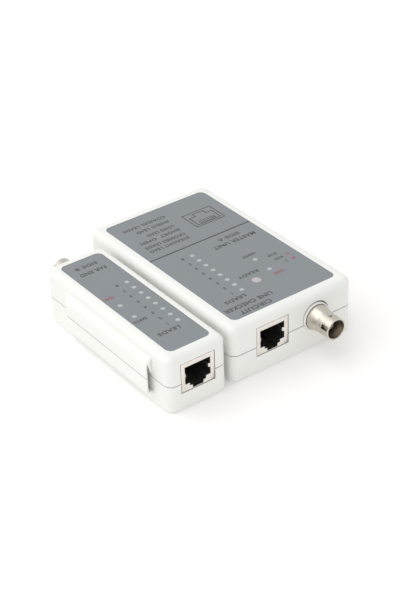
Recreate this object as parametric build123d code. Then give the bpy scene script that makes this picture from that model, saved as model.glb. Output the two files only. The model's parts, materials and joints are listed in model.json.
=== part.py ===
"""Network cable tester: a main unit with a remote unit docked on its left side.

Millimetres. The origin is the centre of the main unit's underside, +X runs from the remote
towards the main unit, +Y away from the end with the data sockets, and +Z up.
"""

from build123d import *
from dataclasses import dataclass
import os

# ---- both cases
CASE_HEIGHT = 26.0
PARTING_HEIGHT = 12.8  # underside to the seam between the two shells
WALL = 2.0
FLOOR = 2.2
CORNER_R = 3.5  # upright corners
TOP_EDGE_R = 3.0
BOTTOM_EDGE_R = 1.4
SEAM = 0.3  # open line between the shells
LIP_HEIGHT = 1.6  # tongue of the lower shell, standing up inside the upper one
LIP_CLEARANCE = 0.12
SNUG_FIT = 0.04  # between pieces of one unit that are pushed or clamped together
OVERCUT = 1.0  # how far a cutting block reaches past the face that it opens
ROOT = 0.5  # how far a post, rib or bulge is rooted in the wall that it grows from

# ---- main unit
MAIN_WIDTH = 62.0
MAIN_LENGTH = 101.1
MAIN_LABEL_MARGIN_X = 4.75
MAIN_LABEL_MARGIN_Y = 4.9

# ---- remote unit
REMOTE_WIDTH = 28.1
REMOTE_LENGTH = 87.3
REMOTE_LEAD = 0.85  # how far its socket face stands ahead of the main unit's
REMOTE_LABEL_MARGIN_X = 4.1
REMOTE_LABEL_MARGIN_Y = 4.55

# ---- labels
LABEL_RECESS = 0.4
LABEL_THICKNESS = 0.25
LABEL_CORNER_R = 2.6
LABEL_CLEARANCE = 0.15

# ---- grip bulge on the remote's outer side
GRIP_PROUD = 2.75
GRIP_FRONT_SETBACK = 11.1
GRIP_BACK_SETBACK = 14.3
GRIP_LOW = 5.0
GRIP_HIGH = 22.0
GRIP_LOW_RUN = 1.4  # height over which the foot of the bulge comes out of the wall
GRIP_HIGH_RUN = 3.6
GRIP_BACK_RUN = 5.6  # length of the soft ramp at its far end
GRIP_SKIN = 0.6
GRIP_POCKET_DEPTH = 30.0
GRIP_POCKET_LOW_MARGIN = 1.3
GRIP_POCKET_HIGH_MARGIN = 2.5
GRIP_POCKET_SLOPE = 6.0  # height over which the slot narrows to a point
GRIP_FOOT_LEAN = 0.15  # rise over run where the curves leave the wall
GRIP_SHOULDER_LEAN = 0.25

# ---- dock between the two units
DOCK_GAP = 3.1
DOCK_RAIL_LENGTH = 36.0
DOCK_RAIL_SETBACK = 20.5  # behind the main unit's socket face
DOCK_NECK_HEIGHT = 6.6
DOCK_HEAD_HEIGHT = 10.4
DOCK_HEAD_THICKNESS = 1.6
DOCK_LIP = 1.4  # wall of the remote that the rail's head sits behind
DOCK_BACK_WALL = 1.2
DOCK_PLAY = 0.25
DOCK_LEAD_IN = 0.6
DOCK_FLANGE_HEIGHT = 8.0
DOCK_FLANGE_THICKNESS = 1.3

# ---- circuit boards
BOARD_TOP = 8.4
BOARD_THICKNESS = 1.6
BOARD_SIDE_GAP = 0.4
MAIN_BOARD_FRONT = 3.95  # socket face to the board's edge
MAIN_BOARD_BACK_GAP = 4.65  # board's edge to the rib in front of the battery
REMOTE_BOARD_FRONT = 3.95
REMOTE_BOARD_BACK = 4.4
BOARD_POST_R = 3.3
BOARD_PEG_R = 1.4
BOARD_PEG_FIT = 0.2
BOARD_PEG_PROUD = 1.0
MAIN_POST_XS = (-15.5, 15.5)
MAIN_POST_SETBACK = 34.7
REMOTE_POST_SETBACKS = (55.0, 73.5)

# ---- data sockets
JACK_WIDTH = 15.9
JACK_HEIGHT = 13.2
JACK_DEPTH = 18.5
JACK_BOTTOM = 8.42
JACK_INSET = 0.12
JACK_CLEARANCE = 0.25
JACK_SHEET = 0.3
JACK_MOUTH_WIDTH = 12.2
JACK_MOUTH_HEIGHT = 8.0
JACK_MOUTH_TOP = 2.1
JACK_STEP_WIDTH = 7.8
JACK_STEP_HEIGHT = 1.35
JACK_LATCH_WIDTH = 5.2
JACK_LATCH_HEIGHT = 1.45
JACK_CAVITY_DEPTH = 15.0
JACK_FIT = 0.04
CONTACT_COUNT = 8
CONTACT_PITCH = 1.02
CONTACT_WIDTH = 0.42
CONTACT_THICKNESS = 0.3
CONTACT_SLOT_DEPTH = 0.5
CONTACT_FRONT = 1.6
CONTACT_REACH = 8.5
CONTACT_DROP = 2.1
MAIN_JACK_X = -10.75  # from the main unit's centre
REMOTE_JACK_X = -0.15  # from the remote's centre

# ---- coaxial connectors
COAX_HEIGHT = 15.0
COAX_BARREL_R = 4.8
COAX_ROOT_R = 5.6
COAX_ROOT_PROUD = 1.7
COAX_CONE_LENGTH = 4.2
COAX_BORE_R = 4.15
COAX_BORE_DEPTH = 9.0
COAX_INNER_LENGTH = 8.0
COAX_LUG_R = 0.95
COAX_LUG_REACH = 5.5
COAX_LUG_SETBACK = 4.2
COAX_WINDOW_LENGTH = 3.8
COAX_WINDOW_WIDTH = 2.0
COAX_WINDOW_SETBACK = 0.8
COAX_WINDOW_ANGLE = 160.0
COAX_INSULATOR_R = 2.4
COAX_INSULATOR_SETBACK = 4.4
COAX_STEM_R = 1.9
COAX_PIN_R = 0.75
COAX_PIN_BORE_R = 0.45
COAX_PIN_BORE_DEPTH = 4.0
COAX_PIN_TAIL = 2.5
COAX_PIN_SETBACK = 0.1  # behind the insulator's face
COAX_RIM_CHAMFER = 0.2
BUSHING_R = 6.35
BUSHING_PROUD = 0.9
BUSHING_FLANGE_R = 7.3
BUSHING_FLANGE_THICKNESS = 1.1
BUSHING_CLEARANCE = 0.12
BUSHING_HOLE_SLACK = 0.2  # the hole is larger than the bushing and lies up and to its right
BUSHING_EDGE_R = 0.2
FOOT_WIDTH = 7.0
FOOT_LENGTH = 3.5
FOOT_TOP = 3.4  # below the connector's axis, inside its root
MAIN_COAX_X = 11.45
MAIN_COAX_PROUD = 12.9
REMOTE_COAX_X = -0.4
REMOTE_COAX_PROUD = 10.4

# ---- indicator lamps
LAMP_R = 1.5
LAMP_RIM_R = 1.85
LAMP_RIM_THICKNESS = 0.9
LAMP_LENGTH = 4.9
LAMP_HOLE_CLEARANCE = 0.15
LAMP_WINDOW_R = 1.1
LAMP_TOP_GAP = 0.05
LAMP_LEG = 0.5
LAMP_LEG_SPREAD = 1.27
POWER_LAMP_R = 2.5
POWER_WINDOW_R = 2.0
POWER_RIM_R = 2.9
PIN_LAMP_COUNT = 8
MAIN_LAMP_PITCH = 4.8
MAIN_LAMP_X = -9.5
MAIN_LAMP_FIRST = 21.25  # socket face to the first lamp
MAIN_STATUS_X = 8.86
MAIN_STATUS_SETBACKS = (26.3, 35.7)
POWER_LAMP_X = -0.5
POWER_LAMP_SETBACK = 23.05
REMOTE_LAMP_PITCH = 5.07
REMOTE_LAMP_X = 5.97
REMOTE_LAMP_FIRST = 20.9
REMOTE_STATUS_X = -6.06
REMOTE_STATUS_SETBACKS = (33.65, 43.55)

# ---- slide switch in the main unit's right wall
SWITCH_SETBACK = 30.15
SWITCH_PITCH = 3.5
SWITCH_STEPS = 2
KNOB_LENGTH = 4.0
KNOB_HEIGHT = 3.0
KNOB_PROUD = 1.3
KNOB_RIDGES = 3
KNOB_RIDGE = 0.35
SLIDER_LENGTH = 6.4
SLIDER_HEIGHT = 4.4
SLIDER_THICKNESS = 1.8
SWITCH_CAN_DEPTH = 5.0
SWITCH_SHEET = 0.5
SWITCH_PLAY = 0.25
SWITCH_RECESS = 0.7
SWITCH_RECESS_MARGIN = 1.6
SWITCH_LEG_R = 0.4
SWITCH_LEG_COUNT = 4
SWITCH_LEG_INSET = 1.0

# ---- battery, its bay and door
BATTERY_LENGTH = 48.5
BATTERY_WIDTH = 26.5
BATTERY_THICKNESS = 17.0
BATTERY_EDGE_R = 1.8
BATTERY_BAY_CLEARANCE = 0.6
BATTERY_BACK_GAP = 0.5
BAY_RIB = 1.4
BAY_RIB_HEIGHT = 8.4
DOOR_WIDTH = 54.0
DOOR_FRONT_OVERLAP = 2.0
DOOR_TONGUE = 1.0
DOOR_TONGUE_THICKNESS = 0.7
DOOR_TONGUE_HEIGHT = 0.9
DOOR_CLEARANCE = 0.25
DOOR_LIFT = 0.2
DOOR_GRIP_COUNT = 5
DOOR_GRIP_PITCH = 2.2
DOOR_GRIP_WIDTH = 14.0
DOOR_GRIP_DEPTH = 0.5
TERMINAL_R = 2.8
TERMINAL_LENGTH = 2.0
TERMINAL_SPACING = 12.7
SNAP_THICKNESS = 1.6
SNAP_EDGE_GAP = 1.25  # battery's side to the end of the snap strip
SNAP_HEIGHT = 11.0
LEAD_R = 0.65
LEAD_BEND_R = 2.2
LEAD_RISES = (3.2, 0.7)  # positive and negative, above the battery's middle
LEAD_REACHES = (9.8, 6.8)

# ---- screws and their bosses
SCREW_R = 1.4
SCREW_HEAD_R = 2.6
SCREW_HEAD_HEIGHT = 1.7
SCREW_WELL_DEPTH = 4.0
SCREW_LENGTH = 12.0
SCREW_SLOT = 0.6
SCREW_SLOT_DEPTH = 0.7
SCREW_FIT = 0.03
SCREW_TIP_GAP = 1.0
SCREW_CLEARANCE = 0.2
BOSS_LOW_R = 3.9
BOSS_HIGH_R = 2.8
BOSS_MEET = 10.6
BOSS_INSET = 5.7  # outer walls to the boss centre
MAIN_BACK_BOSS_SETBACK = 64.0
REMOTE_BOSS_INSET = 5.2
REMOTE_BOSS_SETBACKS = (26.6, 70.0)

# ---- parts on the boards
CHIP_LENGTH = 19.3
CHIP_WIDTH = 6.4
CHIP_HEIGHT = 3.3
CHIP_STANDOFF = 0.5
CHIP_LEGS = 7
CHIP_LEG_PITCH = 2.54
CHIP_LEG_WIDTH = 0.5
MAIN_CHIP_XS = (-21.6, 1.5)
MAIN_CHIP_SETBACKS = (40.0, 51.0)
CAPACITOR_R = 3.1
CAPACITOR_HEIGHT = 7.0
CAPACITOR_EDGE_R = 0.4
CAPACITOR_X = 17.0
CAPACITOR_SETBACK = 55.0
RESISTOR_R = 1.1
RESISTOR_LENGTH = 6.0
RESISTOR_COUNT = 8
RESISTOR_PITCH = 3.4
RESISTOR_WIRE_R = 0.3
RESISTOR_X = 0.0
RESISTOR_SETBACK = 24.5

UP = (Align.CENTER, Align.CENTER, Align.MIN)


@dataclass(frozen=True)
class Case:
    """Outer size and place of one unit's case."""

    x: float
    y: float
    width: float
    length: float

    @property
    def left(self):
        return self.x - self.width / 2

    @property
    def right(self):
        return self.x + self.width / 2

    @property
    def front(self):
        return self.y - self.length / 2

    @property
    def back(self):
        return self.y + self.length / 2


MAIN = Case(0.0, 0.0, MAIN_WIDTH, MAIN_LENGTH)
REMOTE = Case(
    MAIN.left - DOCK_GAP - REMOTE_WIDTH / 2,
    MAIN.front - REMOTE_LEAD + REMOTE_LENGTH / 2,
    REMOTE_WIDTH,
    REMOTE_LENGTH,
)
TOP_INSIDE = CASE_HEIGHT - WALL
LABEL_FLOOR = CASE_HEIGHT - LABEL_RECESS
RAIL_FRONT = MAIN.front + DOCK_RAIL_SETBACK
RAIL_BACK = RAIL_FRONT + DOCK_RAIL_LENGTH
BATTERY_BACK = MAIN.back - WALL - BATTERY_BACK_GAP
BATTERY_FRONT = BATTERY_BACK - BATTERY_WIDTH
BATTERY_BOTTOM = FLOOR + BATTERY_BAY_CLEARANCE
BATTERY_MIDDLE_X = -(TERMINAL_LENGTH + SNAP_THICKNESS) / 2
BAY_FRONT = BATTERY_FRONT - BATTERY_BAY_CLEARANCE
DOOR_FRONT = BAY_FRONT - DOOR_FRONT_OVERLAP
SNAP_LENGTH = BATTERY_WIDTH - 2 * SNAP_EDGE_GAP
SWITCH_Y = MAIN.front + SWITCH_SETBACK
SWITCH_TRAVEL = SWITCH_STEPS * SWITCH_PITCH


def slab(x0, x1, y0, y1, z0, z1):
    """A block between two opposite corners."""
    middle = Pos((x0 + x1) / 2, (y0 + y1) / 2, (z0 + z1) / 2)
    return middle * Box(x1 - x0, y1 - y0, z1 - z0)


def rounded_slab(case, inset, z0, z1, radius):
    """A block as large as the case less an inset all round, with rounded upright corners."""
    outline = RectangleRounded(case.width - 2 * inset, case.length - 2 * inset, radius)
    return extrude(Pos(case.x, case.y, z0) * outline, z1 - z0)


def label_block(case, margin_x, margin_y, grow, z0, z1):
    """The label's outline as a block, grown by a clearance."""
    width = case.width - 2 * margin_x + 2 * grow
    length = case.length - 2 * margin_y + 2 * grow
    outline = RectangleRounded(width, length, LABEL_CORNER_R + grow)
    return extrude(Pos(case.x, case.y, z0) * outline, z1 - z0)


def case_outside(case):
    """The outer form of a case: upright corners, a soft top edge and a small lower edge."""
    block = rounded_slab(case, 0.0, 0.0, CASE_HEIGHT, CORNER_R)
    block = fillet(block.faces().sort_by(Axis.Z)[-1].edges(), TOP_EDGE_R)
    return fillet(block.faces().sort_by(Axis.Z)[0].edges(), BOTTOM_EDGE_R)


def case_inside(case):
    """The hollow of a case."""
    return rounded_slab(case, WALL, FLOOR, TOP_INSIDE, CORNER_R - WALL)


def lip_ring(case, clearance, z0, z1):
    """The band that takes the inner half of the side walls."""
    outer = rounded_slab(case, WALL / 2 + clearance, z0, z1, CORNER_R - WALL / 2)
    return outer - rounded_slab(case, WALL, z0, z1, CORNER_R - WALL)


def split_case(case, body, lip_cuts):
    """Parts a hollow case at the seam into a lower shell with a lip and an upper one with a rebate."""
    reach = case.width + case.length
    low_limit = PARTING_HEIGHT - SEAM / 2
    high_limit = PARTING_HEIGHT + SEAM / 2
    everything = (case.x - reach, case.x + reach, case.y - reach, case.y + reach)
    lower = body & slab(*everything, 0.0, low_limit)
    upper = body & slab(*everything, high_limit, CASE_HEIGHT)
    lip_top = PARTING_HEIGHT + LIP_HEIGHT
    upper -= lip_ring(case, 0.0, high_limit, lip_top + LIP_CLEARANCE)
    lip = lip_ring(case, LIP_CLEARANCE, low_limit, lip_top)
    for cut in lip_cuts:
        lip -= cut
    return lower + lip, upper


def boss_centres(case):
    """Where the screws stand in a case."""
    if case is MAIN:
        rows = (MAIN.front + BOSS_INSET, MAIN.front + MAIN_BACK_BOSS_SETBACK)
        columns = (MAIN.left + BOSS_INSET, MAIN.right - BOSS_INSET)
        return [(x, y) for x in columns for y in rows]
    return [(REMOTE.left + REMOTE_BOSS_INSET, REMOTE.front + s) for s in REMOTE_BOSS_SETBACKS]


def post(x, y, radius, z0, z1):
    """An upright round post or hole."""
    return Pos(x, y, z0) * Cylinder(radius, z1 - z0, align=UP)


def add_low_bosses(case, shell):
    """Screw towers of the lower shell, each with a well for the head."""
    inside = rounded_slab(case, WALL / 2, 0.0, CASE_HEIGHT, CORNER_R - WALL / 2)
    for x, y in boss_centres(case):
        shell += post(x, y, BOSS_LOW_R, FLOOR / 2, BOSS_MEET) & inside
    for x, y in boss_centres(case):
        shell -= post(x, y, SCREW_R + SCREW_CLEARANCE, 0.0, BOSS_MEET)
        shell -= post(x, y, SCREW_HEAD_R + SCREW_CLEARANCE, 0.0, SCREW_WELL_DEPTH)
    return shell


def add_high_bosses(case, shell):
    """Screw towers of the upper shell, each with a blind hole for the thread."""
    thread_top = SCREW_WELL_DEPTH + SCREW_LENGTH + SCREW_TIP_GAP
    for x, y in boss_centres(case):
        shell += post(x, y, BOSS_HIGH_R, BOSS_MEET, TOP_INSIDE + ROOT)
        shell -= post(x, y, SCREW_R + SCREW_FIT, BOSS_MEET, thread_top)
    return shell


def case_screws(case):
    """Slotted case screws, heads in their wells."""
    screws = []
    for x, y in boss_centres(case):
        head_bottom = SCREW_WELL_DEPTH - SCREW_HEAD_HEIGHT
        head = post(x, y, SCREW_HEAD_R, head_bottom, SCREW_WELL_DEPTH)
        half = SCREW_HEAD_R + OVERCUT
        slot = slab(x - half, x + half, y - SCREW_SLOT / 2, y + SCREW_SLOT / 2,
                    head_bottom, head_bottom + SCREW_SLOT_DEPTH)
        shank = post(x, y, SCREW_R, SCREW_WELL_DEPTH, SCREW_WELL_DEPTH + SCREW_LENGTH)
        screws.append(head - slot + shank)
    return screws


# ---------------------------------------------------------------- indicator lamps
def pin_lamps(case):
    """Centres of the column of numbered lamps."""
    if case is MAIN:
        x, first, pitch = MAIN.x + MAIN_LAMP_X, MAIN_LAMP_FIRST, MAIN_LAMP_PITCH
    else:
        x, first, pitch = REMOTE.x + REMOTE_LAMP_X, REMOTE_LAMP_FIRST, REMOTE_LAMP_PITCH
    return [(x, case.front + first + i * pitch) for i in range(PIN_LAMP_COUNT)]


def status_lamps(case):
    """Centres of the lamps for earth and for the coaxial line."""
    if case is MAIN:
        return [(MAIN.x + MAIN_STATUS_X, MAIN.front + s) for s in MAIN_STATUS_SETBACKS]
    return [(REMOTE.x + REMOTE_STATUS_X, REMOTE.front + s) for s in REMOTE_STATUS_SETBACKS]


def power_lamp():
    """Centre of the main unit's power lamp."""
    return (MAIN.x + POWER_LAMP_X, MAIN.front + POWER_LAMP_SETBACK)


def lamp(x, y, radius, rim_r):
    """A domed lamp standing on two legs from the board up to just under the label."""
    top = LABEL_FLOOR - LAMP_TOP_GAP
    foot = top - LAMP_LENGTH
    tube = post(x, y, radius, foot, top - radius)
    dome = Pos(x, y, top - radius) * Sphere(radius)
    above = slab(x - rim_r, x + rim_r, y - rim_r, y + rim_r, top - radius, top + radius)
    rim = post(x, y, rim_r, foot, foot + LAMP_RIM_THICKNESS)
    solid = tube + (dome & above) + rim
    for side in (-1, 1):
        leg_x = x + side * LAMP_LEG_SPREAD
        solid += slab(leg_x - LAMP_LEG / 2, leg_x + LAMP_LEG / 2, y - LAMP_LEG / 2,
                      y + LAMP_LEG / 2, BOARD_TOP, foot)
    return solid


def pin_lamp_set(case):
    """The numbered lamps of one unit."""
    return [lamp(x, y, LAMP_R, LAMP_RIM_R) for x, y in pin_lamps(case)]


def status_lamp_set(case):
    """The earth and coaxial lamps of one unit."""
    return [lamp(x, y, LAMP_R, LAMP_RIM_R) for x, y in status_lamps(case)]


def cut_lamp_holes(case, shell):
    """Holes in the roof under the label for every lamp."""
    for x, y in pin_lamps(case) + status_lamps(case):
        shell -= post(x, y, LAMP_R + LAMP_HOLE_CLEARANCE, TOP_INSIDE - OVERCUT, CASE_HEIGHT)
    if case is MAIN:
        hole_r = POWER_LAMP_R + LAMP_HOLE_CLEARANCE
        shell -= post(*power_lamp(), hole_r, TOP_INSIDE - OVERCUT, CASE_HEIGHT)
    return shell


def label(case, margin_x, margin_y):
    """The printed sheet in its recess, with a window over each lamp."""
    sheet = label_block(case, margin_x, margin_y, 0.0, LABEL_FLOOR, LABEL_FLOOR + LABEL_THICKNESS)
    for x, y in pin_lamps(case) + status_lamps(case):
        sheet -= post(x, y, LAMP_WINDOW_R, LABEL_FLOOR, CASE_HEIGHT)
    if case is MAIN:
        sheet -= post(*power_lamp(), POWER_WINDOW_R, LABEL_FLOOR, CASE_HEIGHT)
    return sheet


# ---------------------------------------------------------------- data sockets
def jack_face(case):
    """Front plane of a data socket."""
    return case.front + JACK_INSET


def jack_x(case):
    """Middle of a data socket along X."""
    return case.x + (MAIN_JACK_X if case is MAIN else REMOTE_JACK_X)


def jack_mouth(case, y0, y1):
    """The stepped opening that takes a plug with its latch at the bottom."""
    x = jack_x(case)
    top = JACK_BOTTOM + JACK_HEIGHT - JACK_MOUTH_TOP
    floor = top - JACK_MOUTH_HEIGHT
    step = floor - JACK_STEP_HEIGHT
    latch = step - JACK_LATCH_HEIGHT
    mouth = slab(x - JACK_MOUTH_WIDTH / 2, x + JACK_MOUTH_WIDTH / 2, y0, y1, floor, top)
    mouth += slab(x - JACK_STEP_WIDTH / 2, x + JACK_STEP_WIDTH / 2, y0, y1, step, floor)
    mouth += slab(x - JACK_LATCH_WIDTH / 2, x + JACK_LATCH_WIDTH / 2, y0, y1, latch, step)
    return mouth


def jack_window(case):
    """The hole in the front wall round a data socket."""
    x = jack_x(case)
    half = JACK_WIDTH / 2 + JACK_CLEARANCE
    return slab(x - half, x + half, case.front - OVERCUT, case.front + WALL + OVERCUT,
                JACK_BOTTOM - JACK_CLEARANCE, JACK_BOTTOM + JACK_HEIGHT + JACK_CLEARANCE)


def jack_shield(case):
    """Folded sheet cover of a data socket, open at the back."""
    x, face = jack_x(case), jack_face(case)
    half = JACK_WIDTH / 2
    top = JACK_BOTTOM + JACK_HEIGHT
    cover = slab(x - half, x + half, face, face + JACK_DEPTH, JACK_BOTTOM, top)
    cover -= slab(x - half + JACK_SHEET, x + half - JACK_SHEET, face + JACK_SHEET,
                  face + JACK_DEPTH, JACK_BOTTOM + JACK_SHEET, top - JACK_SHEET)
    return cover - jack_mouth(case, face - OVERCUT, face + JACK_SHEET + OVERCUT)


def jack_insert(case):
    """Moulded body of a data socket, with slots in its roof for the spring contacts."""
    x, face = jack_x(case), jack_face(case)
    half = JACK_WIDTH / 2 - JACK_SHEET - JACK_FIT
    roof = JACK_BOTTOM + JACK_HEIGHT - JACK_MOUTH_TOP
    block = slab(x - half, x + half, face + JACK_SHEET + JACK_FIT, face + JACK_DEPTH,
                 JACK_BOTTOM + JACK_SHEET + JACK_FIT,
                 JACK_BOTTOM + JACK_HEIGHT - JACK_SHEET - JACK_FIT)
    block -= jack_mouth(case, face, face + JACK_CAVITY_DEPTH)
    for contact_x in contact_columns(case):
        reach = CONTACT_WIDTH / 2 + JACK_FIT
        block -= slab(contact_x - reach, contact_x + reach, face + CONTACT_FRONT - JACK_FIT,
                      face + JACK_CAVITY_DEPTH, roof - JACK_FIT, roof + CONTACT_SLOT_DEPTH)
    return block


def contact_columns(case):
    """Middles of the spring contacts along X."""
    middle = (CONTACT_COUNT - 1) / 2
    return [jack_x(case) + (i - middle) * CONTACT_PITCH for i in range(CONTACT_COUNT)]


def jack_contacts(case):
    """Spring contacts: flat in the roof, folded back at the front and sloping down inside."""
    face = jack_face(case)
    roof = JACK_BOTTOM + JACK_HEIGHT - JACK_MOUTH_TOP
    front = face + CONTACT_FRONT
    strip_top = roof + CONTACT_THICKNESS + JACK_FIT
    tip_y = front + CONTACT_REACH
    contacts = []
    for x in contact_columns(case):
        outline = Polyline(
            (face + JACK_CAVITY_DEPTH - JACK_FIT, strip_top),
            (front, strip_top),
            (front, roof - CONTACT_THICKNESS / 2),
            (tip_y, roof - CONTACT_DROP - CONTACT_THICKNESS / 2),
            (tip_y, roof - CONTACT_DROP + CONTACT_THICKNESS / 2),
            (front + CONTACT_THICKNESS, roof + JACK_FIT),
            (face + JACK_CAVITY_DEPTH - JACK_FIT, roof + JACK_FIT),
            close=True,
        )
        plane = Plane(origin=(x - CONTACT_WIDTH / 2, 0, 0), x_dir=(0, 1, 0), z_dir=(1, 0, 0))
        contacts.append(extrude(plane * make_face(outline), CONTACT_WIDTH))
    return contacts


# ---------------------------------------------------------------- coaxial connectors
def coax_place(case):
    """Takes a connector made along +Z, with its seat at zero, to the wall it stands on."""
    if case is MAIN:
        return Pos(MAIN.x + MAIN_COAX_X, MAIN.front, COAX_HEIGHT) * Rot(X=90)
    return Pos(REMOTE.x + REMOTE_COAX_X, REMOTE.back, COAX_HEIGHT) * Rot(X=-90)


def coax_proud(case):
    """How far a connector stands out of its wall."""
    return MAIN_COAX_PROUD if case is MAIN else REMOTE_COAX_PROUD


def rod(radius, z0, z1):
    """A round rod along the connector's own axis."""
    return Pos(0, 0, z0) * Cylinder(radius, z1 - z0, align=UP)


def coax_body(case):
    """Plated shell: root, taper, barrel with two bayonet lugs and a side window, foot on the board."""
    proud = coax_proud(case)
    barrel_start = COAX_ROOT_PROUD + COAX_CONE_LENGTH
    taper = Pos(0, 0, COAX_ROOT_PROUD) * Cone(COAX_ROOT_R, COAX_BARREL_R, COAX_CONE_LENGTH, align=UP)
    body = rod(COAX_ROOT_R, -COAX_INNER_LENGTH, COAX_ROOT_PROUD) + taper
    body += rod(COAX_BARREL_R, barrel_start, proud)
    lug = Pos(0, 0, proud - COAX_LUG_SETBACK) * Rot(X=90) * Cylinder(COAX_LUG_R, 2 * COAX_LUG_REACH)
    body += lug
    body -= rod(COAX_BORE_R, proud - COAX_BORE_DEPTH, proud)
    body -= rod(COAX_STEM_R + SNUG_FIT, -COAX_INNER_LENGTH, proud)
    window_middle = proud - COAX_WINDOW_SETBACK - COAX_WINDOW_LENGTH / 2
    turn = COAX_WINDOW_ANGLE if case is MAIN else COAX_WINDOW_ANGLE - 180.0
    side = Rot(Z=turn) * Pos(COAX_BARREL_R, 0, window_middle)
    body -= side * Box(COAX_BARREL_R, COAX_WINDOW_WIDTH, COAX_WINDOW_LENGTH)
    rim = body.edges().filter_by(GeomType.CIRCLE).group_by(Axis.Z)[-1]
    body = chamfer(rim, COAX_RIM_CHAMFER)
    down = -1 if case is MAIN else 1
    drop = down * (COAX_HEIGHT - BOARD_TOP)
    foot_start = -COAX_INNER_LENGTH
    foot = slab(-FOOT_WIDTH / 2, FOOT_WIDTH / 2, min(drop, down * FOOT_TOP),
                max(drop, down * FOOT_TOP), foot_start, foot_start + FOOT_LENGTH)
    return coax_place(case) * (body + foot)


def coax_insulator(case):
    """Insulating core of the connector."""
    proud = coax_proud(case)
    seat = proud - COAX_BORE_DEPTH
    core = rod(COAX_INSULATOR_R, seat, proud - COAX_INSULATOR_SETBACK)
    core += rod(COAX_STEM_R, -COAX_INNER_LENGTH, seat)
    core -= rod(COAX_PIN_R + SNUG_FIT, -COAX_INNER_LENGTH, proud)
    return coax_place(case) * core


def coax_pin(case):
    """Centre contact, a small socket at the mouth end."""
    tip = coax_proud(case) - COAX_INSULATOR_SETBACK - COAX_PIN_SETBACK
    pin = rod(COAX_PIN_R, -COAX_INNER_LENGTH - COAX_PIN_TAIL, tip)
    return coax_place(case) * (pin - rod(COAX_PIN_BORE_R, tip - COAX_PIN_BORE_DEPTH, tip))


def coax_bushing(case):
    """Moulded ring between the connector and the case wall, flanged behind the wall."""
    flange_back = -WALL - BUSHING_FLANGE_THICKNESS - SNUG_FIT
    ring = rod(BUSHING_R, flange_back, BUSHING_PROUD)
    ring += rod(BUSHING_FLANGE_R, flange_back, -WALL - SNUG_FIT)
    ring -= rod(COAX_ROOT_R + SNUG_FIT, flange_back, BUSHING_PROUD)
    rim = ring.edges().filter_by(GeomType.CIRCLE).group_by(Axis.Z)[-1]
    return coax_place(case) * fillet(rim, BUSHING_EDGE_R)


def coax_hole(case):
    """Hole in the case wall round the bushing."""
    slack = BUSHING_HOLE_SLACK
    return coax_place(case) * Pos(slack, slack, 0) * rod(BUSHING_R + BUSHING_CLEARANCE + slack,
                                                         -WALL - OVERCUT, OVERCUT)


# ---------------------------------------------------------------- dock
def dock_rail():
    """T-shaped rail on the main unit's left wall, its foot clamped between the shells."""
    z = PARTING_HEIGHT
    head_left = REMOTE.right - DOCK_LIP - DOCK_PLAY - DOCK_HEAD_THICKNESS
    inner = MAIN.left + WALL
    web = slab(head_left, inner + DOCK_FLANGE_THICKNESS, RAIL_FRONT, RAIL_BACK,
               z - DOCK_NECK_HEIGHT / 2, z + DOCK_NECK_HEIGHT / 2)
    head = slab(head_left, head_left + DOCK_HEAD_THICKNESS, RAIL_FRONT, RAIL_BACK,
                z - DOCK_HEAD_HEIGHT / 2, z + DOCK_HEAD_HEIGHT / 2)
    flange = slab(inner + SNUG_FIT, inner + DOCK_FLANGE_THICKNESS, RAIL_FRONT, RAIL_BACK,
                  z - DOCK_FLANGE_HEIGHT / 2, z + DOCK_FLANGE_HEIGHT / 2)
    rail = web + head + flange
    return chamfer(rail.edges().filter_by(Axis.Z).group_by(Axis.X)[0], DOCK_LEAD_IN)


def dock_wall_slot():
    """The slot in the main unit's left wall round the rail's web."""
    z = PARTING_HEIGHT
    reach = DOCK_NECK_HEIGHT / 2 + SNUG_FIT
    return slab(MAIN.left - OVERCUT, MAIN.left + WALL + OVERCUT, RAIL_FRONT - SNUG_FIT, RAIL_BACK + SNUG_FIT,
                z - reach, z + reach)


def dock_channel_walls():
    """Walls inside the remote round the rail's head."""
    z = PARTING_HEIGHT
    reach = DOCK_HEAD_HEIGHT / 2 + DOCK_PLAY + DOCK_BACK_WALL
    inner = REMOTE.right - DOCK_LIP - 2 * DOCK_PLAY - DOCK_HEAD_THICKNESS - DOCK_BACK_WALL
    block = slab(inner, REMOTE.right - WALL / 2, RAIL_FRONT - DOCK_PLAY - DOCK_BACK_WALL,
                 REMOTE.back - WALL / 2, z - reach, z + reach)
    return block & rounded_slab(REMOTE, WALL / 2, 0.0, CASE_HEIGHT, CORNER_R - WALL / 2)


def dock_channel():
    """The slot that the rail runs in, open through the remote's far end."""
    z = PARTING_HEIGHT
    neck = DOCK_NECK_HEIGHT / 2 + DOCK_PLAY
    head = DOCK_HEAD_HEIGHT / 2 + DOCK_PLAY
    head_left = REMOTE.right - DOCK_LIP - 2 * DOCK_PLAY - DOCK_HEAD_THICKNESS
    start = RAIL_FRONT - DOCK_PLAY
    end = REMOTE.back + OVERCUT
    slot = slab(REMOTE.right - DOCK_LIP - OVERCUT, REMOTE.right + OVERCUT, start, end, z - neck, z + neck)
    return slot + slab(head_left, REMOTE.right - DOCK_LIP, start, end, z - head, z + head)


# ---------------------------------------------------------------- grip bulge
def grip_outline():
    """Cross-section of the bulge: a short curve at the foot, a flat face and a longer curve above."""
    x = REMOTE.left
    face = x - GRIP_PROUD
    root = x + ROOT
    low, high = GRIP_LOW, GRIP_HIGH
    low_run, high_run = GRIP_LOW_RUN, GRIP_HIGH_RUN
    foot = Spline((x, low), (face, low + low_run), tangents=((-1, GRIP_FOOT_LEAN), (0, 1)))
    flat = Line((face, low + low_run), (face, high - high_run))
    shoulder = Spline((face, high - high_run), (x, high), tangents=((0, 1), (GRIP_SHOULDER_LEAN, 1)))
    back = Polyline((x, high), (root, high), (root, low), (x, low))
    return make_face([foot, flat, shoulder, back])


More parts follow.
